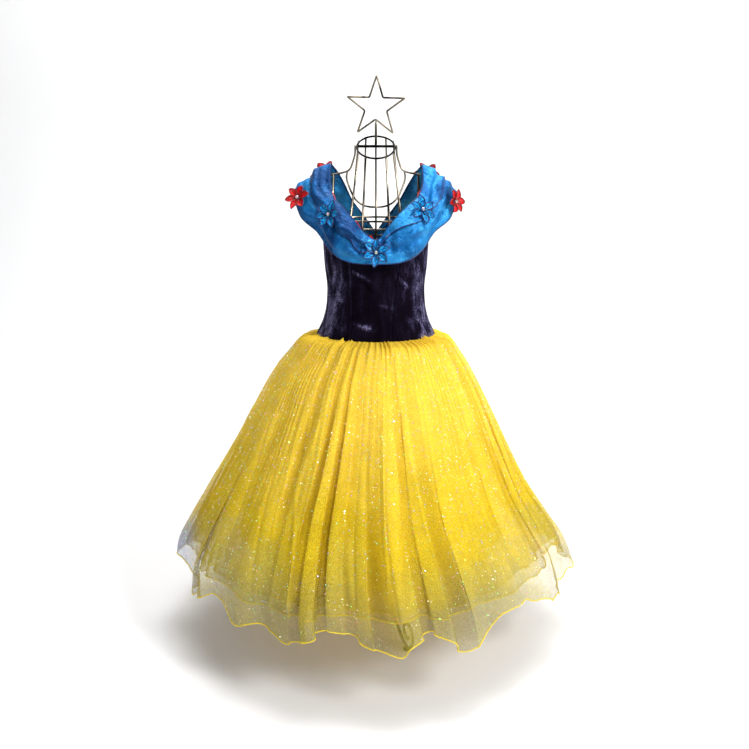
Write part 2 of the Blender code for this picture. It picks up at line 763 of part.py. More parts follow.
def wire_form(collection):
    """The neck, shoulders and torso of the form, bent from round wire."""
    ring = [neck_ring_point(18 * i, NECK_RING_R) for i in range(20)]
    wire("neck_ring", ring, WIRE_R, collection, "wire", closed=True)
    bar_reach = NECK_RING_R - WIRE_R - 2 * SEAM_GAP
    bar_z = NECK_Z + 0.0018
    rod(
        "neck_bar",
        (-bar_reach, 0, bar_z),
        (bar_reach, 0, bar_z),
        NECK_BAR_R,
        8,
        collection,
        "stand",
    )
    foot_z = bar_z + NECK_BAR_R + SEAM_GAP
    notch_z = STAR_Z - STAR_INNER_R - WIRE_R - 5 * SEAM_GAP
    post = [(0, 0, foot_z), (0, 0, notch_z - 0.0050), (0, 0, notch_z)]
    wire("finial_rod", post, ROD_R, collection, "wire", taper=0.3)
    wire("finial_star", star_points(), WIRE_R, collection, "wire", closed=True)
    for side, name in ((-1, "shoulder_wire_left"), (1, "shoulder_wire_right")):
        start = NECK_RING_R + WIRE_PITCH
        line = [
            (start, 1.003),
            (start + 0.0006, 0.986),
            (0.0460, 0.969),
            (0.0500, 0.959),
            (SCOOP_END_X, 0.9535),
            (0.0700, 0.9495),
            (0.0885, SHOULDER_WIRE_Z),
        ]
        wire(name, [(side * x, 0, z) for x, z in line], WIRE_R, collection, "wire")
    scoop = []
    for rib in RIBS:
        path = rib_path(rib)
        wire(rib.name, path, WIRE_R, collection, "wire")
        if rib.neck in SCOOP_HEIGHTS:
            place = at_height(path, SCOOP_HEIGHTS[rib.neck])
            place[:2] *= 1 - WIRE_PITCH / np.linalg.norm(place[:2])
            scoop.append(place)
    scoop_ends = [
        (side * (SCOOP_END_X + dx), -WIRE_PITCH - dy, z)
        for side in (-1, 1)
        for dx, dy, z in ((0.0, 0.0, 0.9515), (0.0002, 0.0090, 0.9360))
    ]
    scoop.sort(key=lambda p: p[0])
    path = np.array([*scoop_ends[:2], *scoop, scoop_ends[3], scoop_ends[2]])
    fine = np.linspace(0, len(path) - 1, 17)
    knots = np.arange(len(path))
    smooth = np.stack([through(knots, path[:, i], fine) for i in range(3)], axis=-1)
    wire("scoop_wire", smooth, WIRE_R, collection, "wire")
    for name, body in SHOULDER_RIBS.items():
        side, front = math.copysign(1, body), -1 if abs(body) < 90 else 1
        lower = [oval(CAGE, body, h) for h in RIB_HEIGHTS]
        top = (side * 0.0838, front * WIRE_PITCH, SHOULDER_WIRE_Z + 0.0008)
        upper = (side * 0.0842, front * 0.020, 0.908)
        wire(name, [top, upper, *lower], WIRE_R, collection, "wire")
    for name, height in RINGS.items():
        points = ring_path(height)
        wire(name, points, WIRE_R, collection, "wire", closed=True)
    wire("ring_hip", ring_path(CAGE_FOOT_Z), WIRE_R, collection, "wire", closed=True)


def stand(collection):
    """The bars across the hip ring, the pole and the three scroll legs."""
    foot = oval(CAGE, 90, CAGE_FOOT_Z, WIRE_PITCH + WIRE_R + 2 * SEAM_GAP)[0]
    deep = -oval(CAGE, 0, CAGE_FOOT_Z, WIRE_PITCH)[1]
    y_bar_z = CAGE_FOOT_Z - WIRE_R - SEAM_GAP - ROD_R
    x_bar_z = y_bar_z + 2 * ROD_R + SEAM_GAP
    rod("base_bar_x", (-foot, 0, x_bar_z), (foot, 0, x_bar_z), ROD_R, 8, collection, "wire")
    rod("base_bar_y", (0, -deep, y_bar_z), (0, deep, y_bar_z), ROD_R, 8, collection, "wire")
    pole_top = y_bar_z - ROD_R - SEAM_GAP
    rod("stand_pole", (0, 0, POLE_FOOT_Z), (0, 0, pole_top), POLE_R, 12, collection, "stand")
    for name, angle in LEG_ANGLES.items():
        path = leg_path(angle)
        wire(f"leg_{name}", path, LEG_R, collection, "stand")
        around = math.radians(angle)
        x, y = 0.172 * math.sin(around), -0.172 * math.cos(around)
        rod(f"glide_{name}", (x, y, 0), (x, y, GLIDE_H), GLIDE_R, 12, collection, "stand")


def main():
    clear_scene()
    collection = bpy.data.collections.new("princess_dress")
    bpy.context.scene.collection.children.link(collection)
    for panel in PANELS:
        bodice_panel(panel, collection)
    collar(collection)
    neck_facing(collection)
    for row in FLOWERS:
        flower(row, collection)
    for layer in LAYERS:
        skirt_layer(layer, collection)
    wire_form(collection)
    stand(collection)


main()
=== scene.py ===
# A girl's princess costume dress on a wire dress form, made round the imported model.
# Metres, +Z up; the front faces -Y. Angles are degrees round the figure: 0 at the
# front, 90 at +X, 180 at the back.
import math

import bpy
import numpy as np
from mathutils import Euler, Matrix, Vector


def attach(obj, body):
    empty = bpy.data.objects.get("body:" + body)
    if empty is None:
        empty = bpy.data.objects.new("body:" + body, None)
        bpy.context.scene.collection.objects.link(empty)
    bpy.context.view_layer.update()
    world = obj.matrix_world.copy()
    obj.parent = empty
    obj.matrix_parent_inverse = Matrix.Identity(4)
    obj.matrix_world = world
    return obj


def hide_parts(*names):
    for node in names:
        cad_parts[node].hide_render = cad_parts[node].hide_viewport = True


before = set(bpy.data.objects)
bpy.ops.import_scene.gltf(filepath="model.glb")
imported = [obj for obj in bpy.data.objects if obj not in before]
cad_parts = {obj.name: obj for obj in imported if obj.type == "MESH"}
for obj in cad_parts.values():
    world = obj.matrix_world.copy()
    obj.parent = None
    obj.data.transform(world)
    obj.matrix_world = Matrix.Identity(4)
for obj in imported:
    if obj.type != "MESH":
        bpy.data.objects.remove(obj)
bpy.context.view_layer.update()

print("frame loaded:", len(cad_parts), "nodes")

# Camera, floor and light

view = {
    "place": (-0.0027, -1.80, 0.99),
    "tilt": 76.0,  # degrees up from straight down
    "lens": 42.9,
    "floorColour": (0.86, 0.86, 0.86),
    "floorWidth": 12.0,
    "floorFront": -5.0,
    "sweepStart": 1.5,  # where the floor starts to curve up behind the dress
    "sweepRadius": 1.3,
    "sweepTop": 4.5,
    "skyColour": (0.94, 0.96, 1.0),
    "skyStrength": 0.30,
    # name: (place, aimed at, width, watts)
    "lights": {
        "keyLight": ((2.0, -1.85, 2.4), (0.0, 0.0, 0.65), 0.9, 95),
        "fillLight": ((-2.4, -1.7, 1.4), (0.0, 0.0, 0.55), 1.8, 6),
        "topLight": ((0.3, 0.1, 2.8), (0.0, 0.0, 0.70), 1.0, 24),
        "backdropLight": ((0.0, 0.9, 3.8), (0.0, 3.0, 1.2), 2.6, 95),
    },
}


def setCamera():
    data = bpy.data.cameras.new("camera")
    data.lens = view["lens"]
    camera = bpy.data.objects.new("camera", data)
    camera.location = view["place"]
    camera.rotation_euler = (math.radians(view["tilt"]), 0, 0)
    bpy.context.scene.collection.objects.link(camera)
    bpy.context.scene.camera = camera


def setLights():
    for name, (place, aim, width, watts) in view["lights"].items():
        data = bpy.data.lights.new(name, "AREA")
        data.shape = "DISK"
        data.size = width
        data.energy = watts
        light = bpy.data.objects.new(name, data)
        light.location = place
        toward = Vector(aim) - Vector(place)
        light.rotation_euler = toward.to_track_quat("-Z", "Y").to_euler()
        bpy.context.scene.collection.objects.link(light)
    world = bpy.data.worlds.new("sky")
    world.use_nodes = True
    sky = world.node_tree.nodes["Background"]
    sky.inputs["Color"].default_value = (*view["skyColour"], 1)
    sky.inputs["Strength"].default_value = view["skyStrength"]
    bpy.context.scene.world = world


# Curves and surfaces


def steady(knots, values, at):
    # a cubic through the knots on each stretch, with slopes that never overshoot
    knots, values, at = (np.asarray(a, float) for a in (knots, values, at))
    rise = np.diff(values) / np.diff(knots)
    product = rise[1:] * rise[:-1]
    total = np.where(product > 0, rise[1:] + rise[:-1], 1.0)
    inner = np.where(product > 0, 2 * product / total, 0.0)
    slopes = np.concatenate([rise[:1], inner, rise[-1:]])
    i = np.clip(np.searchsorted(knots, at, side="right") - 1, 0, len(knots) - 2)
    width = knots[i + 1] - knots[i]
    t = np.clip((at - knots[i]) / width, 0, 1)
    return (
        values[i] * (1 + 2 * t) * (1 - t) ** 2
        + values[i + 1] * t * t * (3 - 2 * t)
        + width * slopes[i] * t * (1 - t) ** 2
        - width * slopes[i + 1] * t * t * (1 - t)
    )


def apart(angle, middle):
    # the signed difference of two angles, from -180 to 180
    return (np.asarray(angle, float) - middle + 180) % 360 - 180


def easeStep(low, high, value):
    # 0 below low, 1 above high, and a smooth s-curve between
    t = np.clip((value - low) / (high - low), 0, 1)
    return t * t * (3 - 2 * t)


def unit(vectors):
    return vectors / np.linalg.norm(vectors, axis=-1, keepdims=True)


def bend(knots, count, closed=False):
    # a Catmull-Rom curve through the knots, as count points
    knots = np.asarray(knots, float)
    n = len(knots)
    end = n if closed else n - 1
    t = np.linspace(0, end, count, endpoint=not closed)
    i = np.minimum(t.astype(int), end - 1)
    f = (t - i)[:, None]
    pick = (lambda k: k % n) if closed else (lambda k: np.clip(k, 0, n - 1))
    a, b, c, d = (knots[pick(i + k)] for k in (-1, 0, 1, 2))
    return 0.5 * (
        2 * b
        + (c - a) * f
        + (2 * a - 5 * b + 4 * c - d) * f**2
        + (3 * b - a - 3 * c + d) * f**3
    )


def gridFaces(rows, columns, around=False, first=0):
    # the quads of a grid of points that runs left to right, then bottom to top
    index = first + np.arange(rows * columns).reshape(rows, columns)
    here, ahead = index, np.roll(index, -1, axis=1)
    if not around:
        here, ahead = index[:, :-1], index[:, 1:]
    quads = np.stack([here[:-1], ahead[:-1], ahead[1:], here[1:]], axis=-1)
    return quads.reshape(-1, 4)


def addPiece(name, points, faces, material, replaced=(), smooth=True):
    # one mesh object at the origin that rides on the part's only body
    mesh = bpy.data.meshes.new(name)
    mesh.from_pydata(np.asarray(points).reshape(-1, 3).tolist(), [], faces)
    mesh.polygons.foreach_set("use_smooth", [smooth] * len(mesh.polygons))
    mesh.materials.append(material)
    mesh.update()
    piece = bpy.data.objects.new(name, mesh)
    bpy.context.scene.collection.objects.link(piece)
    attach(piece, "root")
    if replaced:
        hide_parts(*replaced)
    return piece


def setValues(piece, name, values):
    # a number for each point of the mesh, for its material
    kind = "FLOAT_COLOR" if np.ndim(values) > 1 else "FLOAT"
    layer = piece.data.attributes.new(name, kind, "POINT")
    field = "color" if kind == "FLOAT_COLOR" else "value"
    layer.data.foreach_set(field, np.asarray(values, np.float32).ravel())


def setUv(piece, uv):
    # uv in metres for each point
    loops = np.empty(len(piece.data.loops), np.int32)
    piece.data.loops.foreach_get("vertex_index", loops)
    layer = piece.data.uv_layers.new(name="cloth")
    flat = np.asarray(uv, np.float32).reshape(-1, 2)[loops]
    layer.data.foreach_set("uv", flat.ravel())


def tube(path, radius, facing, sides=10, closed=False, first=0):
    # a circle carried along the path and square to it; facing is a direction that
    # the path never runs along
    path = np.asarray(path, float)
    ahead = np.gradient(path, axis=0)
    if closed:
        ahead = np.roll(path, -1, axis=0) - np.roll(path, 1, axis=0)
    ahead = unit(ahead)
    side = unit(np.cross(ahead, np.broadcast_to(facing, path.shape)))
    up = np.cross(side, ahead)
    turn = np.arange(sides) * 2 * np.pi / sides
    ring = side[:, None] * np.cos(turn)[:, None] + up[:, None] * np.sin(turn)[:, None]
    reach = np.broadcast_to(radius, len(path))[:, None, None]
    points = path[:, None] + ring * reach
    count = len(path)
    faces = gridFaces(count, sides, True, first)
    if closed:
        last = first + (count - 1) * sides + np.arange(sides)
        start = first + np.arange(sides)
        seam = np.stack(
            [last, np.roll(last, -1), np.roll(start, -1), start], axis=-1
        )
        return points.reshape(-1, 3), np.concatenate([faces, seam]).tolist()
    foot = list(range(first + sides - 1, first - 1, -1))
    top = [first + (count - 1) * sides + i for i in range(sides)]
    return points.reshape(-1, 3), faces.tolist() + [foot, top]


def addTubes(name, tubes, material, replaced=()):
    # several tubes as one piece: (path, radius, facing, sides, closed) for each
    points, faces, first = [], [], 0
    for path, radius, facing, sides, closed in tubes:
        some, more = tube(path, radius, facing, sides, closed, first)
        points.append(some)
        faces += more
        first += len(some)
    return addPiece(name, np.concatenate(points), faces, material, replaced)


# Materials


class Finish:
    # a Principled material and short ways to its nodes

    def __init__(self, name, colour, roughness, metallic=0.0):
        self.material = bpy.data.materials.new(name)
        self.material.use_nodes = True
        self.tree = self.material.node_tree
        self.shader = self.tree.nodes["Principled BSDF"]
        self.fix("Base Color", (*colour, 1))
        self.fix("Roughness", roughness)
        self.fix("Metallic", metallic)

    def fix(self, socket, value):
        self.shader.inputs[socket].default_value = value

    def drive(self, socket, source):
        self.tree.links.new(source, self.shader.inputs[socket])

    def add(self, kind, **inputs):
        node = self.tree.nodes.new(kind)
        for key, value in inputs.items():
            if isinstance(value, bpy.types.NodeSocket):
                self.tree.links.new(value, node.inputs[key.replace("_", " ")])
            else:
                node.inputs[key.replace("_", " ")].default_value = value
        return node

    def place(self, stretch=(1, 1, 1), cloth=False):
        # object coordinates in metres, or the cloth's own UV, stretched
        coords = self.tree.nodes.new("ShaderNodeTexCoord")
        source = coords.outputs["UV" if cloth else "Object"]
        return self.add("ShaderNodeMapping", Vector=source, Scale=stretch).outputs[0]

    def noise(self, where, scale, detail=3.0, rough=0.5, warp=0.0):
        node = self.add(
            "ShaderNodeTexNoise",
            Vector=where,
            Scale=scale,
            Detail=detail,
            Roughness=rough,
            Distortion=warp,
        )
        return node.outputs["Fac"]

    def cells(self, where, scale, feature="DISTANCE_TO_EDGE", output="Distance"):
        node = self.add("ShaderNodeTexVoronoi", Vector=where, Scale=scale)
        node.feature = feature
        return node.outputs[output]

    def value(self, name, output="Fac"):
        node = self.tree.nodes.new("ShaderNodeAttribute")
        node.attribute_name = name
        return node.outputs[output]

    def spread(self, source, low, high, toLow, toHigh):
        node = self.add("ShaderNodeMapRange", Value=source)
        for key, number in zip(
            ("From Min", "From Max", "To Min", "To Max"), (low, high, toLow, toHigh)
        ):
            node.inputs[key].default_value = number
        return node.outputs["Result"]

    def maths(self, kind, a, b):
        node = self.tree.nodes.new("ShaderNodeMath")
        node.operation = kind
        for socket, value in zip(node.inputs, (a, b)):
            if isinstance(value, bpy.types.NodeSocket):
                self.tree.links.new(value, socket)
            else:
                socket.default_value = value
        return node.outputs[0]

    def ramp(self, source, stops):
        node = self.add("ShaderNodeValToRGB", Fac=source)
        marks = node.color_ramp.elements
        while len(marks) < len(stops):
            marks.new(0.5)
        for mark, (at, colour) in zip(marks, stops):
            mark.position = at
            mark.color = (*colour, 1)
        return node.outputs["Color"]

    def mix(self, share, first, second, kind="MIX"):
        node = self.tree.nodes.new("ShaderNodeMix")
        node.data_type = "RGBA"
        node.blend_type = kind
        sockets = [node.inputs[0], node.inputs[6], node.inputs[7]]
        for socket, value in zip(sockets, (share, first, second)):
            if isinstance(value, bpy.types.NodeSocket):
                self.tree.links.new(value, socket)
            elif isinstance(value, tuple):
                socket.default_value = (*value, 1)
            else:
                socket.default_value = value
        return node.outputs[2]

    def bump(self, height, strength, distance):
        node = self.add(
            "ShaderNodeBump", Height=height, Strength=strength, Distance=distance
        )
        self.drive("Normal", node.outputs["Normal"])


tulleLook = {
    # colours by height: painted shade, darker and greyer from the top down to the hem
    "lowShadeColour": (0.33, 0.285, 0.070),
    "middleColour": (0.74, 0.50, 0.010),
    "topColour": (1.0, 0.665, 0.055),
    "colourHeights": (0.14, 0.30, 0.50),
    "valley": (0.66, 0.58, 0.26),  # what the colour is multiplied by between folds: painted shade
    "hemShade": (0.22, 0.28, 0.52),  # painted blue-grey shade on the sheer hem at the far left
    "meshScale": 620.0,  # holes of the net to a metre
    "thinnest": 0.34,
    "thickest": 0.78,
}


def tulleFinish(name, thin=1.0):
    # a sheer net: its holes are cells across the cloth, more open than its threads;
    # it is denser on the folds than between them; its colour holds painted highlights on the
    # folds, painted shade between them, and painted shade darker and greyer towards the hem
    look = tulleLook
    made = Finish(name, look["middleColour"], 0.7)
    where, cloth = made.place(), made.place(cloth=True)
    apartXyz = made.add("ShaderNodeSeparateXYZ", Vector=where)
    height = apartXyz.outputs["Z"]
    # painted shade: the colour darkens and greys from the top down to the hem
    low, middle, high = look["colourHeights"]
    share = made.spread(height, low, high, 0.0, 1.0)
    wander = made.noise(where, 9.0, 3.0)
    share = made.maths("ADD", share, made.spread(wander, 0.3, 0.7, -0.14, 0.14))
    colour = made.ramp(
        share,
        [
            (0.0, look["lowShadeColour"]),
            ((middle - low) / (high - low), look["middleColour"]),
            (1.0, look["topColour"]),
        ],
    )
    ridge = made.value("ridge")
    # painted shade in the valleys between the folds
    colour = made.mix(
        made.spread(ridge, 0.15, 0.9, 0.9, 0.0), colour, look["valley"], "MULTIPLY"
    )
    # painted highlight: lighter grains on the fold ridges
    grain = made.noise(where, 480.0, 2.0, 0.6)
    ridgeHighlight = made.maths("MULTIPLY", made.spread(grain, 0.42, 0.72, 0.0, 0.5), ridge)
    colour = made.mix(ridgeHighlight, colour, (1.0, 0.80, 0.07), "SCREEN")
    # painted blue-grey shade on the sheer hem at the far left
    aside = made.spread(apartXyz.outputs["X"], -0.352, -0.402, 0.0, 1.0)
    lower = made.spread(height, 0.27, 0.19, 0.0, 0.9)
    colour = made.mix(made.maths("MULTIPLY", aside, lower), colour, look["hemShade"])
    made.drive("Base Color", colour)
    net = made.spread(made.cells(cloth, look["meshScale"]), 0.04, 0.26, 1.0, 0.0)
    cover = made.spread(net, 0.0, 1.0, look["thinnest"] * thin, look["thickest"] * thin)
    patches = made.spread(made.noise(where, 26.0, 2.0), 0.3, 0.7, 0.88, 1.12)
    cover = made.maths("MULTIPLY", cover, patches)
    cover = made.maths("MULTIPLY", cover, made.spread(ridge, 0.2, 1.0, 0.90, 1.12))
    cover = made.maths("MULTIPLY", cover, made.spread(height, 0.19, 0.24, 0.74, 1.0))
    made.drive("Alpha", cover)
    made.fix("Specular IOR Level", 0.06)
    return made.material


def slipFinish():
    made = Finish("slipLining", (0.93, 0.64, 0.02), 0.5)
    where = made.place()
    soft = made.noise(where, 14.0, 3.0)
    weave = made.noise(made.place((1, 1, 0.25)), 900.0, 2.0)
    colour = made.ramp(soft, [(0.3, (0.90, 0.57, 0.008)), (0.75, (1.0, 0.70, 0.020))])
    made.drive("Base Color", colour)
    made.drive("Roughness", made.spread(weave, 0.3, 0.7, 0.42, 0.62))
    made.bump(weave, 0.15, 0.0004)
    made.fix("Specular IOR Level", 0.25)
    return made.material


def velvetFinish():
    # crushed stretch velvet: the nap lies in streaks and grains; its colour holds painted sheen,
    # most where the cloth turns away at the sides, and painted highlights on seams and crease ridges
    made = Finish("navyVelvet", (0.005, 0.003, 0.008), 0.8)
    where = made.place()
    streak = made.noise(made.place((1.0, 1.0, 0.30)), 60.0, 4.0, 0.6, 0.5)
    patch = made.noise(made.place((1.0, 1.0, 0.6)), 17.0, 3.0, 0.5, 0.8)
    fibre = made.noise(made.place((1.0, 1.0, 0.55)), 640.0, 3.0, 0.8)
    side = made.value("side")
    nap = made.maths("MULTIPLY", made.spread(streak, 0.40, 0.70, 0.15, 1.0),
                     made.spread(patch, 0.38, 0.68, 0.25, 1.0))
    nap = made.maths("MULTIPLY", nap, made.spread(fibre, 0.38, 0.66, 0.10, 1.7))
    # painted sheen: the colour is lighter towards the sides and on seams and crease ridges
    nap = made.maths("MULTIPLY", nap, made.spread(side, 0.0, 1.0, 0.34, 2.3))
    colour = made.ramp(
        nap,
        [
            (0.0, (0.0022, 0.0010, 0.0032)),
            (0.25, (0.0100, 0.0070, 0.0180)),
            (0.60, (0.048, 0.042, 0.092)),
            (1.0, (0.190, 0.175, 0.310)),
        ],
    )
    made.drive("Base Color", colour)
    made.fix("Sheen Weight", 0.03)
    made.fix("Sheen Roughness", 0.4)
    made.fix("Sheen Tint", (0.30, 0.28, 0.60, 1))
    made.fix("Specular IOR Level", 0.02)
    lumps = made.maths("ADD", made.maths("MULTIPLY", streak, 1.4), fibre)
    made.bump(lumps, 0.5, 0.0012)
    return made.material


def satinFinish(name, deep, plain, bright, gloss=0.36):
    # satin organza: broad soft changes of colour, fine creases and a faint weave, with painted light and
    # shade round the collar and painted highlights in cloudy patches
    made = Finish(name, plain, gloss, 0.35)
    where = made.place()
    wash = made.noise(where, 13.0, 3.0, 0.5, 0.8)
    crease = made.noise(made.place((1, 1, 1.5)), 62.0, 4.0, 0.55, 1.3)
    weave = made.noise(where, 1400.0, 1.0)
    both = made.maths("ADD", made.maths("MULTIPLY", wash, 0.80),
                      made.maths("MULTIPLY", crease, 0.20))
    # painted light and shade: each part of the collar is lighter or darker by its painted shading value
    both = made.maths("ADD", both, made.value("tone"))
    colour = made.ramp(both, [(0.36, deep), (0.50, plain), (0.67, bright)])
    crinkle = made.noise(where, 110.0, 5.0, 0.65, 2.4)
    # painted highlights: pale cloudy patches, fewer where the collar is painted darker
    cloudHighlight = made.maths("MULTIPLY", made.spread(crinkle, 0.49, 0.66, 0.0, 1.0),
                       made.spread(made.noise(where, 21.0, 2.0), 0.50, 0.64, 0.0, 0.90))
    cloudHighlight = made.maths("MULTIPLY", cloudHighlight, made.spread(made.value("tone"), -0.10, 0.04, 0.12, 1.0))
    colour = made.mix(cloudHighlight, colour, tuple(min(1.0, 1.7 * c + 0.05) for c in bright))
    made.drive("Base Color", colour)
    made.drive("Roughness", made.spread(crease, 0.3, 0.7, gloss - 0.08, gloss + 0.16))
    heights = made.maths("ADD", crease, made.maths("MULTIPLY", weave, 0.10))
    made.bump(made.maths("ADD", heights, made.maths("MULTIPLY", crinkle, 0.30)), 0.8, 0.0030)
    made.fix("Specular IOR Level", 0.45)
    made.fix("Specular Tint", (0.45, 0.75, 1.0, 1))
    return made.material


def petalFinish(name, deep, plain, bright):
    # sheer wired organza, darker towards the wire
    made = Finish(name, plain, 0.28)
    rim = made.value("rim")
    vein = made.noise(made.place(), 260.0, 3.0, 0.6, 1.0)
    colour = made.ramp(vein, [(0.38, deep), (0.52, plain), (0.68, bright)])
    colour = made.mix(made.spread(rim, 0.55, 1.0, 0.0, 0.8), colour, deep)
    made.drive("Base Color", colour)
    made.drive("Alpha", made.spread(rim, 0.3, 1.0, 0.80, 0.97))
    made.bump(vein, 0.5, 0.0012)
    made.fix("Specular IOR Level", 0.18)
    return made.material


def wireFinish(name, dark, pale):
    # antique plating, rubbed pale with dark patina left in patches
    made = Finish(name, pale, 0.33, 1.0)
    where = made.place()
    patina = made.noise(made.place((1, 1, 0.4)), 30.0, 3.0, 0.5, 0.5)
    pits = made.noise(where, 900.0, 2.0)
    colour = made.ramp(patina, [(0.42, dark), (0.60, pale)])
    made.drive("Base Color", colour)
    made.drive("Roughness", made.spread(patina, 0.35, 0.65, 0.52, 0.26))
    made.bump(pits, 0.2, 0.0003)
    return made.material


def edgeFinish(name, colour, roughness=0.5):
    # rolled or threaded edge, ribbed along its length
    made = Finish(name, colour, roughness)
    where = made.place()
    twist = made.noise(where, 1500.0, 1.0)
    deep = tuple(0.7 * c for c in colour)
    made.drive("Base Color", made.ramp(twist, [(0.35, deep), (0.65, colour)]))
    made.bump(twist, 0.4, 0.0004)
    return made.material


def crystalFinish():
    made = Finish("crystal", (0.95, 0.92, 0.95), 0.06, 0.65)
    where = made.place()
    facet = made.cells(where, 420.0, "F1", "Color")
    hue = made.add("ShaderNodeSeparateColor", Color=facet).outputs[0]
    colour = made.ramp(
        hue,
        [
            (0.10, (0.80, 0.40, 0.62)),
            (0.35, (0.45, 0.78, 0.52)),
            (0.60, (0.50, 0.60, 0.85)),
            (0.85, (0.90, 0.70, 0.40)),
        ],
    )
    made.drive("Base Color", colour)
    made.fix("Coat Weight", 0.8)
    made.fix("Coat Roughness", 0.03)
    return made.material


def glitterFinish(name, glow):
    made = Finish(name, (0.9, 0.9, 0.9), 0.34, 0.7)
    colour = made.value("tint", "Color")
    made.drive("Base Color", colour)
    # painted glint: each flake glows in its own tint though it is no lamp
    made.drive("Emission Color", colour)
    made.fix("Emission Strength", glow)
    return made.material


def floorFinish():
    made = Finish("studioFloor", view["floorColour"], 0.9)
    made.fix("Specular IOR Level", 0.1)
    return made.material


# The bodice

bodice = {
    "basque": 0.630,
    "thickness": 0.0015,
    "seamGap": 0.0003,
    # height, half width, half depth
    "sections": [
        (0.630, 0.1210, 0.0940),
        (0.645, 0.1140, 0.0890),
        (0.660, 0.1075, 0.0845),
        (0.690, 0.1005, 0.0795),
        (0.724, 0.0985, 0.0780),
        (0.770, 0.1030, 0.0810),
        (0.820, 0.1055, 0.0840),
        (0.900, 0.1020, 0.0820),
    ],
    # angle, height of the top edge, how nearly it keeps to the collar's neckline
    "top": [
        (0, 0.822, 1.0),
        (48, 0.885, 1.0),
        (62, 0.868, 0.4),
        (74, 0.848, 0.0),
        (90, 0.838, 0.0),
        (106, 0.848, 0.0),
        (132, 0.852, 0.0),
        (156, 0.828, 0.0),
        (180, 0.802, 0.0),
    ],
    # angle of each seam at the basque, the waist and the top
    "seams": {
        "backLeft": (-180, -180, -180),
        "sideBackLeft": (-103, -100, -103),
        "sideFrontLeft": (-54, -51, -52),
        "princessLeft": (-26, -30, -31),
        "princessRight": (15, 22, 34),
        "sideFrontRight": (50, 52, 56),
        "sideBackRight": (103, 100, 103),
        "backRight": (180, 180, 180),
    },
    # piece, node, its left seam, its right seam, flat width and length of the cut
    "panels": [
        ("bodiceBackLeft", "bodice_back_left", "backLeft", "sideBackLeft", 0.150, 0.235),
        ("bodiceSideLeft", "bodice_side_left", "sideBackLeft", "sideFrontLeft", 0.094, 0.240),
        ("bodiceSideFrontLeft", "bodice_side_front_left", "sideFrontLeft", "princessLeft", 0.048, 0.262),
        ("bodiceFront", "bodice_front", "princessLeft", "princessRight", 0.106, 0.236),
        ("bodiceSideFrontRight", "bodice_side_front_right", "princessRight", "sideFrontRight", 0.062, 0.262),
        ("bodiceSideRight", "bodice_side_right", "sideFrontRight", "sideBackRight", 0.096, 0.240),
        ("bodiceBackRight", "bodice_back_right", "sideBackRight", "backRight", 0.150, 0.235),
    ],
    "seamDip": (0.0011, 0.0024),  # how deep a seam sinks, and over what width
    # creases of the stretched cloth: angle and height of one end, of the other,
    # half width, and how far the cloth stands out
    "creases": [
        (-24, 0.752, 0.5, 0.716, 0.0042, -0.0016),
        (-26, 0.766, -4, 0.744, 0.0036, 0.0012),
        (24, 0.755, 45, 0.722, 0.0036, 0.0028),
        (24, 0.788, 34, 0.760, 0.0032, -0.0012),
        (-24, 0.664, -2, 0.652, 0.0050, 0.0016),
        (-34, 0.700, -58, 0.712, 0.0040, 0.0009),
        (36, 0.704, 60, 0.716, 0.0040, 0.0009),
        (-12, 0.684, -28, 0.672, 0.0036, -0.0008),
        (4, 0.700, 22, 0.690, 0.0034, 0.0008),
        (140, 0.700, 172, 0.712, 0.0040, 0.0010),
        (-140, 0.706, -172, 0.698, 0.0040, 0.0010),
        (152, 0.760, 174, 0.742, 0.0036, -0.0009),
        (-150, 0.664, -176, 0.672, 0.0036, 0.0009),
    ],
}


def oval(angle, height, inset=0.0):
    # an ellipse at each height, moved in by inset
    levels, wide, deep = np.array(bodice["sections"]).T
    turn = np.radians(angle)
    halfWidth = steady(levels, wide, height) - inset
    halfDepth = steady(levels, deep, height) - inset
    return np.stack(
        [halfWidth * np.sin(turn), -halfDepth * np.cos(turn), height + 0 * turn], -1
    )


# The collar

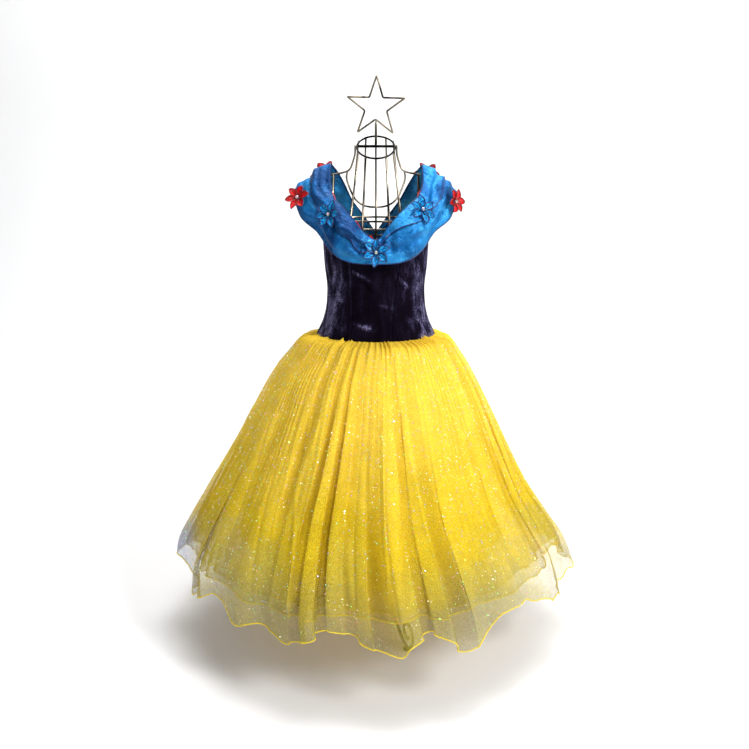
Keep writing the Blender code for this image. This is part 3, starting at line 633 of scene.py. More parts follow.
collar = {
    "thickness": 0.0010,
    "columns": 400,
    "neckShare": 0.035,
    "sewnInset": 0.0011,
    "sewnBelow": 0.0030,
    "foldLift": 0.0031,
    "cuffLift": 0.0034,
    # angle, neckline x y z, lower edge x y z, puff between them, the cuff's share
    "stations": [
        (-180, 0.0000, 0.0905, 0.8240, 0.0000, 0.1060, 0.7830, 0.011, 0.46),
        (-165, -0.0160, 0.0880, 0.8480, -0.0340, 0.1040, 0.7840, 0.012, 0.46),
        (-150, -0.0310, 0.0810, 0.8690, -0.0620, 0.0990, 0.7900, 0.014, 0.46),
        (-135, -0.0490, 0.0680, 0.8950, -0.0880, 0.0860, 0.8070, 0.014, 0.46),
        (-120, -0.0620, 0.0480, 0.9250, -0.1130, 0.0640, 0.8400, 0.012, 0.48),
        (-105, -0.0750, 0.0250, 0.9500, -0.1470, 0.0360, 0.8720, 0.009, 0.50),
        (-90, -0.0880, 0.0000, 0.9670, -0.1640, 0.0000, 0.9150, 0.006, 0.50),
        (-75, -0.0880, -0.0250, 0.9370, -0.1470, -0.0360, 0.8680, 0.009, 0.52),
        (-60, -0.0800, -0.0520, 0.9040, -0.1130, -0.0640, 0.8400, 0.012, 0.56),
        (-45, -0.0640, -0.0715, 0.8895, -0.0880, -0.0860, 0.8070, 0.015, 0.46),
        (-30, -0.0430, -0.0840, 0.8660, -0.0620, -0.0990, 0.7900, 0.014, 0.46),
        (-15, -0.0210, -0.0885, 0.8390, -0.0340, -0.1040, 0.7840, 0.012, 0.66),
        (0, 0.0010, -0.0905, 0.8262, 0.0000, -0.1060, 0.7830, 0.011, 0.42),
        (15, 0.0230, -0.0885, 0.8510, 0.0340, -0.1040, 0.7840, 0.012, 0.22),
        (30, 0.0450, -0.0840, 0.8770, 0.0620, -0.0990, 0.7900, 0.014, 0.30),
        (45, 0.0660, -0.0715, 0.8955, 0.0880, -0.0860, 0.8070, 0.015, 0.42),
        (60, 0.0820, -0.0520, 0.9090, 0.1130, -0.0640, 0.8400, 0.012, 0.50),
        (75, 0.0900, -0.0250, 0.9370, 0.1470, -0.0360, 0.8680, 0.009, 0.54),
        (90, 0.0900, 0.0000, 0.9640, 0.1600, 0.0000, 0.9150, 0.006, 0.58),
        (105, 0.0780, 0.0250, 0.9480, 0.1450, 0.0360, 0.8720, 0.009, 0.52),
        (120, 0.0640, 0.0480, 0.9240, 0.1130, 0.0640, 0.8400, 0.012, 0.48),
        (135, 0.0490, 0.0680, 0.8950, 0.0880, 0.0860, 0.8070, 0.014, 0.46),
        (150, 0.0310, 0.0810, 0.8690, 0.0620, 0.0990, 0.7900, 0.014, 0.46),
        (165, 0.0160, 0.0880, 0.8480, 0.0340, 0.1040, 0.7840, 0.012, 0.46),
        (180, 0.0000, 0.0905, 0.8240, 0.0000, 0.1060, 0.7830, 0.011, 0.46),
    ],
    # folds down the band: angle, half width, height of the ridge
    "creases": [
        (-78, 6, 0.0020),
        (-48, 7, -0.0030),
        (-27, 6, 0.0040),
        (-14, 5, -0.0030),
        (14, 6, -0.0020),
        (36, 8, 0.0030),
        (58, 7, -0.0025),
        (80, 6, 0.0020),
        (140, 9, 0.0030),
        (165, 7, -0.0020),
        (-150, 8, 0.0030),
        (-120, 8, -0.0020),
    ],
    # angle, how much lighter the cuff and the lower tier are there: painted light and shade round the collar
    "shadingByAngle": [
        (-180, 0.10, 0.12),
        (-112, 0.07, 0.06),
        (-90, -0.12, 0.01),
        (-70, -0.20, -0.06),
        (-45, -0.17, -0.07),
        (-25, -0.10, -0.05),
        (-12, 0.00, 0.03),
        (0, 0.08, 0.07),
        (22, 0.08, 0.07),
        (50, 0.05, 0.05),
        (75, -0.02, 0.05),
        (100, 0.05, 0.06),
        (180, 0.10, 0.12),
    ],
    "edgeRadius": 0.0011,
}
collarColumns = {
    name: i
    for i, name in enumerate(
        ("angle", "neckX", "neckY", "neckZ", "lowX", "lowY", "lowZ", "puff", "cuff")
    )
}


def collarValue(name, angle):
    stations = np.array(collar["stations"], float)
    return steady(stations[:, 0], stations[:, collarColumns[name]], apart(angle, 0))


def collarBase(angle, share):
    # a straight line from the neckline, at share 0, to the lower edge, at share 1
    neck = np.stack([collarValue("neck" + c, angle) for c in "XYZ"], -1)
    low = np.stack([collarValue("low" + c, angle) for c in "XYZ"], -1)
    return neck + (low - neck) * np.asarray(share, float)[..., None]


def collarOut(angle):
    # square to the band's width and to its run
    along = collarBase(angle + 2.0, 0.5) - collarBase(angle - 2.0, 0.5)
    down = collarBase(angle, 1.0) - collarBase(angle, 0.0)
    return unit(np.cross(down, along))


def collarPoint(angle, share, lift=0.0, fine=0.0):
    # the base, arched out by its puff, with the folds down it and, times fine, the
    # soft folds along it and the gathers beside the middle flower
    angle, share = np.broadcast_arrays(np.asarray(angle, float), share)
    rise = collarValue("puff", angle) * np.sin(np.pi * np.clip(share, 0, 1)) ** 0.8
    ridge = sum(
        height * np.exp(-((apart(angle, middle) / width) ** 2))
        for middle, width, height in collar["creases"]
    )
    rise = rise + ridge * np.sin(np.pi * share)
    if fine:
        turn = np.radians(angle)
        middle = np.sin(np.pi * np.clip(share, 0, 1)) ** 0.8
        sway = 0.9 * np.sin(2 * turn + 0.6) + 0.5 * np.sin(5 * turn) + 0.3 * np.sin(11 * turn)
        along = 0.0034 * np.sin(2 * np.pi * 1.9 * share + 2.4 * sway)
        along = along + 0.0015 * np.sin(2 * np.pi * 4.3 * share + 4.1 * sway + 1.0)
        near = np.exp(-((apart(angle, 0) / 17) ** 2))
        gathers = 0.0027 * near * np.sin(np.radians(apart(angle, 0)) * 34 + 2.0 * share)
        cross = 0.0008 * np.sin(31 * turn + 4 * share + 2 * np.sin(7 * turn))
        pinch = 0.0056 * np.exp(-((apart(angle, -13.5) / 1.9) ** 2))
        pinch = pinch - 0.0036 * np.exp(-((apart(angle, -9.0) / 1.8) ** 2))
        rise = rise + fine * middle * (along + gathers + cross + pinch)
    return collarBase(angle, share) + collarOut(angle) * (rise + lift)[..., None]


def collarLift(share, folded):
    # the cuff starts close over the tier at the fold and stands off below it
    if not folded:
        return 0.0 * share
    near = np.clip(share / 0.115, 0, 1)
    return collar["foldLift"] + (collar["cuffLift"] - collar["foldLift"]) * near


def addCollarTier(name, node, first, last, rows, folded, material):
    angle = np.arange(collar["columns"])[None, :] * 360.0 / collar["columns"]
    step = np.linspace(0, 1, rows)[:, None]
    share = last(angle) + (first(angle) - last(angle)) * step
    points = collarPoint(angle + 0 * step, share, collarLift(share, folded), 1.0)
    faces = gridFaces(rows, collar["columns"], True).tolist()
    piece = addPiece(name, points, faces, material, [node])
    # painted light and shade for the satin, by angle round the collar
    angles, cuffShading, tierShading = np.array(collar["shadingByAngle"], float).T
    tone = steady(angles, cuffShading if folded else tierShading, apart(angle, 0)) + 0 * step
    setValues(piece, "tone", tone.ravel())
    wall = piece.modifiers.new("cloth", "SOLIDIFY")
    wall.thickness = collar["thickness"]
    wall.offset = -1
    return points


def addCollar(satin, rolled):
    low = addCollarTier(
        "collarLowerTier",
        "collar_lower_tier",
        lambda a: collar["neckShare"] + 0 * a,
        lambda a: 1.0 + 0 * a,
        40,
        False,
        satin,
    )
    cuff = addCollarTier(
        "collarCuff",
        "collar_cuff",
        lambda a: 0 * a,
        lambda a: collarValue("cuff", a),
        26,
        True,
        satin,
    )
    radius = collar["edgeRadius"]
    up = np.array([0.0, 0.0, 1.0])
    angle = np.arange(collar["columns"]) * 360.0 / collar["columns"]
    out = collarOut(angle)
    edges = [
        (low[0] - out * 0.0005, radius, out, 8, True),
        (cuff[0] - out * 0.0005, radius, out, 8, True),
        (cuff[-1] - out * 0.0005, radius * 0.8, out, 8, True),
    ]
    addTubes("collarEdges", edges, rolled)
    return up


def bodicePoint(angle, share, inset=0.0):
    # the oval up to the top edge, which is pulled to just inside the collar
    angles, heights, sewing = np.array(bodice["top"], float).T
    top = steady(angles, heights, abs(angle))
    sewn = steady(angles, sewing, abs(angle))
    base = bodice["basque"]
    plain = oval(angle, base + (top - base) * share, inset)
    neck = collarPoint(angle, collar["neckShare"] + 0 * angle)
    flat = neck * np.array([1.0, 1.0, 0.0])
    reach = np.linalg.norm(flat, axis=-1, keepdims=True)
    goal = neck - flat / reach * (collar["sewnInset"] + inset)
    goal[..., 2] -= collar["sewnBelow"]
    pull = sewn * np.clip((share - 0.55) / 0.45, 0, 1) ** 1.5
    return plain + (goal - oval(angle, top, inset)) * pull[..., None]


def creaseRise(angle, height):
    # each crease is a ridge along the straight line between its two ends
    total = np.zeros_like(height)
    for a0, z0, a1, z1, width, rise in bodice["creases"]:
        reach = 0.00165  # metres along the cloth for a degree
        ax, az = (a1 - a0) * reach, z1 - z0
        px, pz = (angle - a0) * reach, height - z0
        t = np.clip((px * ax + pz * az) / (ax * ax + az * az), 0, 1)
        off = np.hypot(px - t * ax, pz - t * az)
        total = total + 1.7 * rise * np.exp(-((off / width) ** 2)) * np.sin(np.pi * (0.1 + 0.8 * t))
    return total


def addBodice(velvet):
    knots = (0.0, 0.45, 1.0)
    dip, dipWidth = bodice["seamDip"]
    for name, node, left, right, width, length in bodice["panels"]:
        share = np.linspace(0, 1, 90)[:, None]
        seamLeft = steady(knots, bodice["seams"][left], share)
        seamRight = steady(knots, bodice["seams"][right], share)
        across = np.linspace(0, 1, max(12, round(width * 420)))[None, :]
        angle = seamLeft + (seamRight - seamLeft) * across
        share = share + 0 * across
        points = bodicePoint(angle, share)
        toSeam = np.minimum(angle - seamLeft, seamRight - angle) * 0.00165
        seam = dip * np.exp(-((toSeam / dipWidth) ** 2))
        pucker = 0.00035 * np.sin(points[..., 2] * 900 + angle * 0.4)
        pucker = pucker * np.exp(-((toSeam / 0.006) ** 2))
        fade = np.clip((1 - share) / 0.1, 0, 1)
        out = unit(points * np.array([1.0, 1.35, 0.0]))
        rise = creaseRise(angle, points[..., 2]) * fade - seam + pucker
        points = points + out * rise[..., None]
        rows, columns = points.shape[:2]
        faces = gridFaces(rows, columns).tolist()
        piece = addPiece(name, points, faces, velvet, [node])
        # painted sheen and highlights for the velvet: lighter towards the sides, on the seams and on the
        # raised crease ridges
        side = easeStep(22, 62, np.minimum(abs(angle), 180 - abs(angle) + 20))
        side = side + 0.45 * np.exp(-((toSeam / 0.0016) ** 2)) + 340 * np.clip(rise, 0, 0.003)
        setValues(piece, "side", side.ravel())
        wall = piece.modifiers.new("cloth", "SOLIDIFY")
        wall.thickness = bodice["thickness"]
        wall.offset = -1


# The red facing inside the front neckline

facing = {
    "columns": 160,
    "reach": 68,
    "fall": 0.0100,
    "slope": 0.0035,
    "flat": (0.235, 0.0110),
    # angle, how far its edge stands above the neckline
    "rises": [
        (-68, -0.004),
        (-62, 0.000),
        (-54, -0.005),
        (-32, -0.004),
        (-25, 0.0045),
        (-18, -0.001),
        (-12, -0.001),
        (-7, 0.006),
        (-2, -0.003),
        (56, -0.005),
        (63, 0.001),
        (68, -0.002),
    ],
}


def addFacing(satin):
    angle = np.linspace(-facing["reach"], facing["reach"], facing["columns"])
    neck = collarPoint(angle, collar["neckShare"] + 0 * angle)
    inward = -unit(neck * np.array([1.0, 1.0, 0.0]))
    inset = collar["sewnInset"] + bodice["thickness"] + 5 * bodice["seamGap"]
    top = neck + inward * inset
    top[:, 2] += steady(*np.array(facing["rises"]).T, angle)
    share = np.linspace(0, 1, 8)[:, None, None]
    fall = np.array([0.0, 0.0, -facing["fall"]])
    narrow = 1 - 0.6 * easeStep(52, 68, abs(angle))[None, :, None]
    points = top + (inward * facing["slope"] + fall) * (1 - share) * narrow
    wave = 0.0003 * np.sin(angle * 1.3)[None, :, None] * (1 - share)
    points = points + inward * wave
    faces = gridFaces(8, facing["columns"]).tolist()
    piece = addPiece("neckFacing", points, faces, satin, ["neck_facing"])
    wall = piece.modifiers.new("cloth", "SOLIDIFY")
    wall.thickness = 0.0010
    wall.offset = -1


# The flowers

flowers = {
    # name, angle on the collar, share of its width, radius, turn, lift, colour, and
    # how far it leans from the collar's own facing, as x y z
    "rows": [
        ("flower_centre", 0, 0.60, 0.0300, 8, 0.0033, "blue", (0, 0, 0)),
        ("flower_left", -52, 0.36, 0.0290, 20, 0.0039, "blue", (0, 0, 0)),
        ("flower_right", 51, 0.26, 0.0300, 0, 0.0050, "blue", (0, 0, 0)),
        ("flower_shoulder_left", -82, 0.90, 0.0270, 14, 0.0027, "red", (0, 0, 0)),
        ("flower_shoulder_right", 81, 0.95, 0.0270, 30, 0.0045, "red", (0.9, -0.20, -0.2)),
        ("flower_back_left", -100, 0.20, 0.0280, 35, 0.0068, "red", (-0.1, 0.45, 0.0)),
        ("flower_back_right", 101, 0.22, 0.0280, 22, 0.0066, "red", (0.1, 0.45, 0.0)),
    ],
    "petals": 6,
    "petalWidth": 0.0068,  # half of its widest
    "cup": 0.0070,
    "wireRadius": 0.00085,
    "beadRadius": 0.0038,
}


def petalGrid(length, halfWidth, cup, twist, rows=12, columns=9):
    # a leaf shape: its half width rises and falls along it, its sides curl up, and
    # it lifts and then bows towards its tip
    along = np.linspace(0, 1, rows)[:, None]
    across = np.linspace(-1, 1, columns)[None, :]
    body = np.sin(np.pi * np.clip(along, 0, 1) ** 0.85) ** 0.75
    width = halfWidth * (0.22 * (1 - along) ** 2 + body)
    x = width * across
    y = 0.0028 + length * along + 0 * x
    z = cup * (1.25 * along - 0.55 * along**2.4) + 0.0026 * across**2 * body
    z = z + 0.0007 * np.cos(across * 9 + twist) * body - 0.0010 * np.exp(-((across / 0.16) ** 2))
    x = x + 0.0016 * np.sin(3 * along + twist) * along
    rim = np.maximum(abs(across) + 0 * along, along**6)
    return np.stack([x, y, z], -1), rim


def addFlower(row, finishes, seed):
    name, angle, share, radius, turn, lift, colour, lean = row
    petalLook, wireLook, crystal = finishes[colour]
    rng = np.random.default_rng(seed)
    middle = collarPoint(float(angle), float(share), lift)
    out = Vector(collarOut(float(angle)) + np.array(lean)).normalized()
    turnIn = np.array(out.to_track_quat("Z", "Y").to_matrix())
    points, faces, rims, wires = [], [], [], []
    first = 0
    count = flowers["petals"]
    for i in range(count):
        length = radius * rng.uniform(0.86, 1.0) - 0.003
        grid, rim = petalGrid(
            length,
            flowers["petalWidth"] * rng.uniform(0.88, 1.1),
            flowers["cup"] * rng.uniform(0.75, 1.25),
            rng.uniform(0, 6),
        )
        around = math.radians(turn + 360 * i / count + rng.uniform(-6, 6))
        spin = np.array(
            [
                [math.cos(around), math.sin(around), 0],
                [-math.sin(around), math.cos(around), 0],
                [0, 0, 1],
            ]
        )
        placed = (grid + np.array([0, 0, 0.0004 + 0.0003 * (i % 2)])) @ spin.T @ turnIn.T
        placed = placed + middle
        rows, columns = placed.shape[:2]
        points.append(placed.reshape(-1, 3))
        rims.append(rim.ravel())
        faces += gridFaces(rows, columns, False, first).tolist()
        first += rows * columns
        outline = np.concatenate([placed[:, 0], placed[-1, 1:-1], placed[::-1, -1]])
        wires.append((outline, flowers["wireRadius"], np.array(out), 6, False))
        vein = placed[1:-1, columns // 2] + np.array(out) * 0.0003
        wires.append((vein, flowers["wireRadius"] * 0.55, np.array(out), 5, False))
    title = "".join(word.capitalize() for word in name.split("_"))
    piece = addPiece(
        "petals" + title[6:], np.concatenate(points), faces, petalLook, [name]
    )
    setValues(piece, "rim", np.concatenate(rims))
    wall = piece.modifiers.new("organza", "SOLIDIFY")
    wall.thickness = 0.0004
    addTubes("petalWires" + title[6:], wires, wireLook)
    addBead("bead" + title[6:], middle, turnIn, crystal)


def addBead(name, middle, turnIn, crystal):
    # a faceted bead: rings of eight corners turned by half a step, flat shaded
    radius = flowers["beadRadius"]
    levels = [(-0.55, 0.60), (0.10, 1.0), (0.62, 0.78), (0.92, 0.42)]
    corners = 8
    turn = np.arange(corners) * 2 * np.pi / corners
    rings = [
        np.stack(
            [
                r * np.cos(turn + i * np.pi / corners),
                r * np.sin(turn + i * np.pi / corners),
                z + 0 * turn,
            ],
            -1,
        )
        for i, (z, r) in enumerate(levels)
    ]
    points = np.concatenate(rings) * radius + np.array([0, 0, radius * 0.75 + 0.0014])
    points = points @ turnIn.T + middle
    faces = []
    for i in range(len(levels) - 1):
        low = i * corners
        for k in range(corners):
            a, b = low + k, low + (k + 1) % corners
            c = a + corners
            faces += [[a, b, c], [b, b + corners, c]]
    faces.append(list(range(corners - 1, -1, -1)))
    faces.append([(len(levels) - 1) * corners + k for k in range(corners)])
    addPiece(name, points, faces, crystal, smooth=False)


# The skirt

skirt = {
    "basque": 0.630,
    "layerDrop": 0.0022,
    "slipFall": 0.070,
    # height, half width, half depth, sideways hang, share of a flute's reach,
    # spacing of the layers
    "levels": [
        (0.6400, 0.1140, 0.0884, 0.000, 0.00, 0.0008),
        (0.6280, 0.1184, 0.0918, 0.000, 0.00, 0.0008),
        (0.6210, 0.1480, 0.1200, 0.000, 0.05, 0.0040),
        (0.6000, 0.1680, 0.1420, -0.002, 0.10, 0.0055),
        (0.5600, 0.1960, 0.1740, -0.006, 0.18, 0.0065),
        (0.4900, 0.2290, 0.2120, -0.008, 0.32, 0.0080),
        (0.4000, 0.2680, 0.2550, -0.012, 0.50, 0.0090),
        (0.3200, 0.3060, 0.2950, -0.016, 0.66, 0.0100),
        (0.2500, 0.3440, 0.3360, -0.013, 0.80, 0.0110),
        (0.1900, 0.3720, 0.3640, -0.008, 0.92, 0.0120),
        (0.1300, 0.3830, 0.3760, 0.000, 1.00, 0.0130),
    ],
    # the large flutes: angle, half width, reach at the hem
    "flutes": [
        (-158, 8, 0.027),
        (-136, 7, 0.021),
        (-112, 8, 0.027),
        (-84, 12, 0.037),
        (-58, 8, 0.021),
        (-40, 6, 0.027),
        (-20, 9, 0.020),
        (5, 7, 0.033),
        (24, 6, 0.030),
        (43, 8, 0.018),
        (62, 7, 0.022),
        (84, 10, 0.035),
        (106, 8, 0.022),
        (126, 7, 0.027),
        (145, 7, 0.020),
        (163, 8, 0.034),
        (-178, 7, 0.030),
    ],
    # the longest hem: angle, rise from its mean height
    "hem": [
        (-180, -0.004),
        (-158, 0.010),
        (-136, -0.010),
        (-112, 0.008),
        (-92, 0.014),
        (-75, 0.016),
        (-62, -0.010),
        (-52, 0.016),
        (-41, -0.008),
        (-35, 0.002),
        (-23, -0.012),
        (-12, 0.018),
        (6, -0.013),
        (15, 0.013),
        (25, -0.024),
        (43, 0.018),
        (66, -0.018),
        (86, -0.010),
        (104, 0.012),
        (126, -0.012),
        (145, 0.010),
        (163, -0.012),
        (180, -0.004),
    ],
    # the folds of all the layers: count, depth low down and high up, bulge
    "sharedFolds": (39, 0.0115, 0.0040, 1.6),
    "topGathers": (84, 0.0046),  # how many at the waist, and how high they stand
    # piece, node, mean hem height, order from outside, columns, rows, waver of the
    # hem, fine folds and their depth, flat cut
    "layers": [
        ("skirtTopTulle", "skirt_top_tulle", 0.145, 0, 1180, 82, 1.000, 131, 0.0024, (3.5, 0.60)),
        ("skirtSecondTulle", "skirt_second_tulle", 0.183, 1, 900, 68, 0.005, 113, 0.0018, (3.2, 0.53)),
        ("skirtThirdTulle", "skirt_third_tulle", 0.194, 2, 760, 60, 0.005, 97, 0.0015, (3.0, 0.50)),
        ("skirtSlip", "skirt_slip", 0.198, 3, 480, 56, 0.005, 61, 0.0006, (2.0, 0.47)),
    ],
    "threadRadius": 0.00115,
    "threadColour": (0.96, 0.74, 0.004),
}


def skirtValue(column, height):
    levels = np.array(skirt["levels"])[::-1]
    return steady(levels[:, 0], levels[:, column], height)


def foldPhase(angle, height, count, seed):
    # even folds whose spacing wanders round the skirt and which drift on the way down
    turn = np.radians(angle)
    wander = 1.5 * np.sin(3 * turn + seed) + 1.1 * np.sin(7 * turn + 2.1 * seed)
    wander = wander + 0.8 * np.sin(13 * turn + 3.7 * seed) + 0.6 * np.sin(23 * turn + seed)
    sway = 5.0 * (height - 0.4) * np.sin(2 * turn + seed)
    sway = sway + 2.6 * (height - 0.4) * np.sin(5 * turn + 1.7 * seed)
    lean = 0.5 * np.sin(9 * height + 4 * turn + seed)
    return count * turn + wander * (0.4 + count / 70) + sway + lean


def foldDepth(angle, height, seed):
    # how deep the folds are from place to place, from 0.1 to 1: they come in clusters
    # with smoother stretches between, and fade in and out down the cloth
    turn = np.radians(angle)
    wave = np.sin(4 * turn + seed + 4 * height) + 0.8 * np.sin(9 * turn - 2 * seed)
    wave = wave + 0.7 * np.sin(17 * turn + 3 * seed - 7 * height)
    return 0.10 + 0.90 * easeStep(-1.1, 1.9, wave)


def longCreases(angle, height, seed, count):
    # single sharp folds here and there: each has its place, lean, width and length
    rng = np.random.default_rng(seed)
    total = np.zeros(np.broadcast(angle, height).shape)
    places = (np.arange(count) + rng.uniform(-0.4, 0.4, count)) * 360 / count
    leans = rng.uniform(-26, 26, count)
    widths = rng.uniform(0.55, 1.5, count)
    tops = rng.uniform(0.45, 0.66, count)
    ends = rng.uniform(0.12, 0.34, count)
    sizes = rng.uniform(0.5, 1.0, count) * np.where(rng.random(count) < 0.6, 1, -0.7)
    for place, lean, width, top, end, size in zip(places, leans, widths, tops, ends, sizes):
        middle = place + lean * (height - 0.4) + 1.2 * np.sin(11 * height + place)
        window = easeStep(end - 0.06, end + 0.04, height) * easeStep(top + 0.03, top - 0.05, height)
        total += size * np.exp(-((apart(angle, middle) / width) ** 2)) * window
    return total


def hemHeight(layer, angle):
    name, node, hem, order, columns, rows, waver = layer[:7]
    turn = np.radians(angle)
    if order == 0:
        wave = steady(*np.array(skirt["hem"], float).T, apart(angle, 0))
        wave = wave + 0.0022 * np.sin(41 * turn + 2 * np.sin(5 * turn))
    else:
        shift = 1.3 * order
        wave = 0.6 * np.sin(5 * turn + shift) + 0.4 * np.sin(9 * turn + 2 * shift)
        wave = wave + 0.35 * np.sin(29 * turn + 2 * np.sin(3 * turn + shift))
    return hem + waver * wave


def skirtSurface(layer, angle, height):
    # the oval of each level, pushed out by the flutes, the large folds that all the
    # layers share, each layer's own fine folds and its creases; halfway up each fold
    # its sides are drawn sideways, so that the folds bulge over their own feet
    name, node, hem, order, columns, rows, waver, fine, shallow, flat = layer
    seed = 0.7 + 1.9 * order
    spacing = skirtValue(5, height)
    room = easeStep(0.643, 0.617, height)
    lower = easeStep(0.62, 0.30, height)
    hemward = easeStep(hem + 0.12, hem, height)
    count, deep, shallowTop, bulge = skirt["sharedFolds"]
    share = 1.0 if order < 3 else 0.4
    phase = foldPhase(angle, height, count, 0.7)
    depth = foldDepth(angle, height, 0.7)
    large = share * depth * room * (shallowTop + (deep - shallowTop) * lower) * (1 + 0.45 * hemward)
    finePhase = foldPhase(angle, height, fine, seed + 2.3)
    small = shallow * foldDepth(angle, height, seed + 1) * room * (0.62 - 0.22 * lower)
    ridge, fineRidge = 0.5 + 0.5 * np.cos(phase), 0.5 + 0.5 * np.cos(finePhase)
    folds = large * ridge + small * fineRidge - 0.30 * spacing * room
    if order < 3:
        crease = longCreases(angle, height, 11 + order, 74 - 12 * order)
        folds = folds + 0.36 * spacing * crease * room
        ridge = ridge + 0.5 * crease
    sideways = np.degrees(
        room * bulge * share * depth * (0.35 + 0.65 * lower) * np.sin(2 * phase) / (2 * count)
        + room * 0.9 * np.sin(2 * finePhase) * (1.0 - 0.6 * lower) / (2 * fine)
    )
    around = angle + sideways
    soft = 1.0 - 0.16 * order
    flute = sum(
        reach * np.exp(-((apart(around, middle) / width) ** 2))
        for middle, width, reach in skirt["flutes"]
    )
    out = soft * flute * skirtValue(4, height) + folds - order * spacing
    if order == 3:
        down = np.clip((skirt["basque"] - height) / (skirt["basque"] - hem), 0, 1)
        out = out - skirt["slipFall"] * down**1.5
    turn = np.radians(around)
    x = skirtValue(3, height) + (skirtValue(1, height) + out) * np.sin(turn)
    y = -(skirtValue(2, height) + out) * np.cos(turn)
    # over the puffed top the gathers rise straight up instead
    gather = foldPhase(angle, height, skirt["topGathers"][0], 3.1)
    puff = easeStep(0.590, 0.619, height) * easeStep(0.6405, 0.6262, height)
    rise = puff * skirt["topGathers"][1] * (0.35 + 0.65 * foldDepth(angle, height, 3.1))
    rise = rise * (0.5 + 0.5 * np.cos(gather)) ** 1.5 + 0.0022 * puff * depth * ridge
    points = np.stack([x, y, height - order * skirt["layerDrop"] + rise + 0 * turn], -1)
    valley = (0.35 + 0.45 * lower) * depth * (1 - ridge)
    valley = valley + (0.38 - 0.18 * lower) * foldDepth(angle, height, seed + 1) * (1 - fineRidge)
    return points, np.clip(1 - room * valley, 0, 1)


def layerHeights(layer, angle, rows):
    # rows from the hem up, closer together over the puffed edge under the bodice
    hem = hemHeight(layer, angle)
    share = np.linspace(0, 1, rows)[:, None]
    body = np.clip(share / 0.84, 0, 1)
    top = np.interp(share, (0, 0.84, 0.90, 0.95, 1.0), (0.0, 0.0, 0.0065, 0.0115, 0.024))
    return hem + (0.616 - hem) * body + top + 0 * hem


def addSkirtLayer(layer, cloth, thread):
    name, node, hem, order, columns, rows = layer[:6]
    angle = np.arange(columns)[None, :] * 360.0 / columns
    height = layerHeights(layer, angle, rows)
    points, ridge = skirtSurface(layer, angle + 0 * height, height)
    faces = gridFaces(rows, columns, True).tolist()
    piece = addPiece(name, points, faces, cloth, [node])
    setValues(piece, "ridge", ridge.ravel())
    uv = np.stack([np.radians(angle) * 0.40 + 0 * height, height], -1)
    setUv(piece, uv)
    hemPiece = None
    if order < 3:
        path = points[0]
        out = unit(path * np.array([1.0, 1.0, 0.0]))
        hemPiece = addTubes(
            name + "Thread", [(path, skirt["threadRadius"], out, 6, True)], thread
        )
    return points, ridge


# Glitter on the outer tulle

glitter = {
    "dust": {"count": 13000, "sizes": (0.00045, 0.00080), "glow": 0.30, "seed": 5},
    "sparkle": {"count": 4600, "sizes": (0.00062, 0.00108), "glow": 0.9, "seed": 9},
    "lift": 0.0009,
    "tints": [
        (1.0, 1.0, 0.90),
        (0.35, 1.0, 0.30),
        (0.25, 0.95, 0.65),
        (1.0, 0.32, 0.55),
        (0.40, 0.50, 1.0),
        (1.0, 0.45, 0.10),
        (1.0, 0.92, 0.40),
    ],
    "tintShares": [0.26, 0.20, 0.10, 0.12, 0.14, 0.08, 0.10],
}


def addGlitter(name, points, ridge, finish):
    # six-cornered flakes laid on the tulle at random, more of them on its folds, each
    # tilted a little
    look = glitter[name]
    rng = np.random.default_rng(look["seed"])
    rows, columns = points.shape[:2]
    count = look["count"]
    r = (rng.random(3 * count) ** 0.9 * (rows * 0.83)).astype(int)
    c = rng.integers(0, columns, 3 * count)
    kept = np.flatnonzero(rng.random(3 * count) < 0.25 + 0.75 * ridge[r, c])[:count]
    r, c, count = r[kept], c[kept], len(kept)
    here = points[r, c]
    along = unit(points[r, (c + 1) % columns] - here)
    up = unit(points[r + 1, c] - here)
    out = unit(np.cross(along, up))
    tilt = rng.normal(0, 0.42, (count, 2))
    side = unit(along + out * tilt[:, :1])
    facing = unit(np.cross(side, unit(up + out * tilt[:, 1:])))
    up = np.cross(facing, side)
    size = rng.uniform(*look["sizes"], count)[:, None, None]
    turn = np.arange(6) * np.pi / 3
    ring = side[:, None] * np.cos(turn)[:, None] + up[:, None] * np.sin(turn)[:, None]
    shift = rng.random((count, 1)) * (points[r + 1, c] - here)
    middle = here + shift + out * glitter["lift"]
    corners = middle[:, None] + ring * size
    faces = np.arange(count * 6).reshape(count, 6).tolist()
    piece = addPiece("glitter" + name.capitalize(), corners, faces, finish, smooth=False)
    pick = rng.choice(len(glitter["tints"]), count, p=glitter["tintShares"])
    tints = np.array(glitter["tints"])[pick] * rng.uniform(0.55, 1.0, (count, 1))
    four = np.concatenate([tints, np.ones((count, 1))], -1)
    setValues(piece, "tint", np.repeat(four, 6, axis=0))


# The wire form

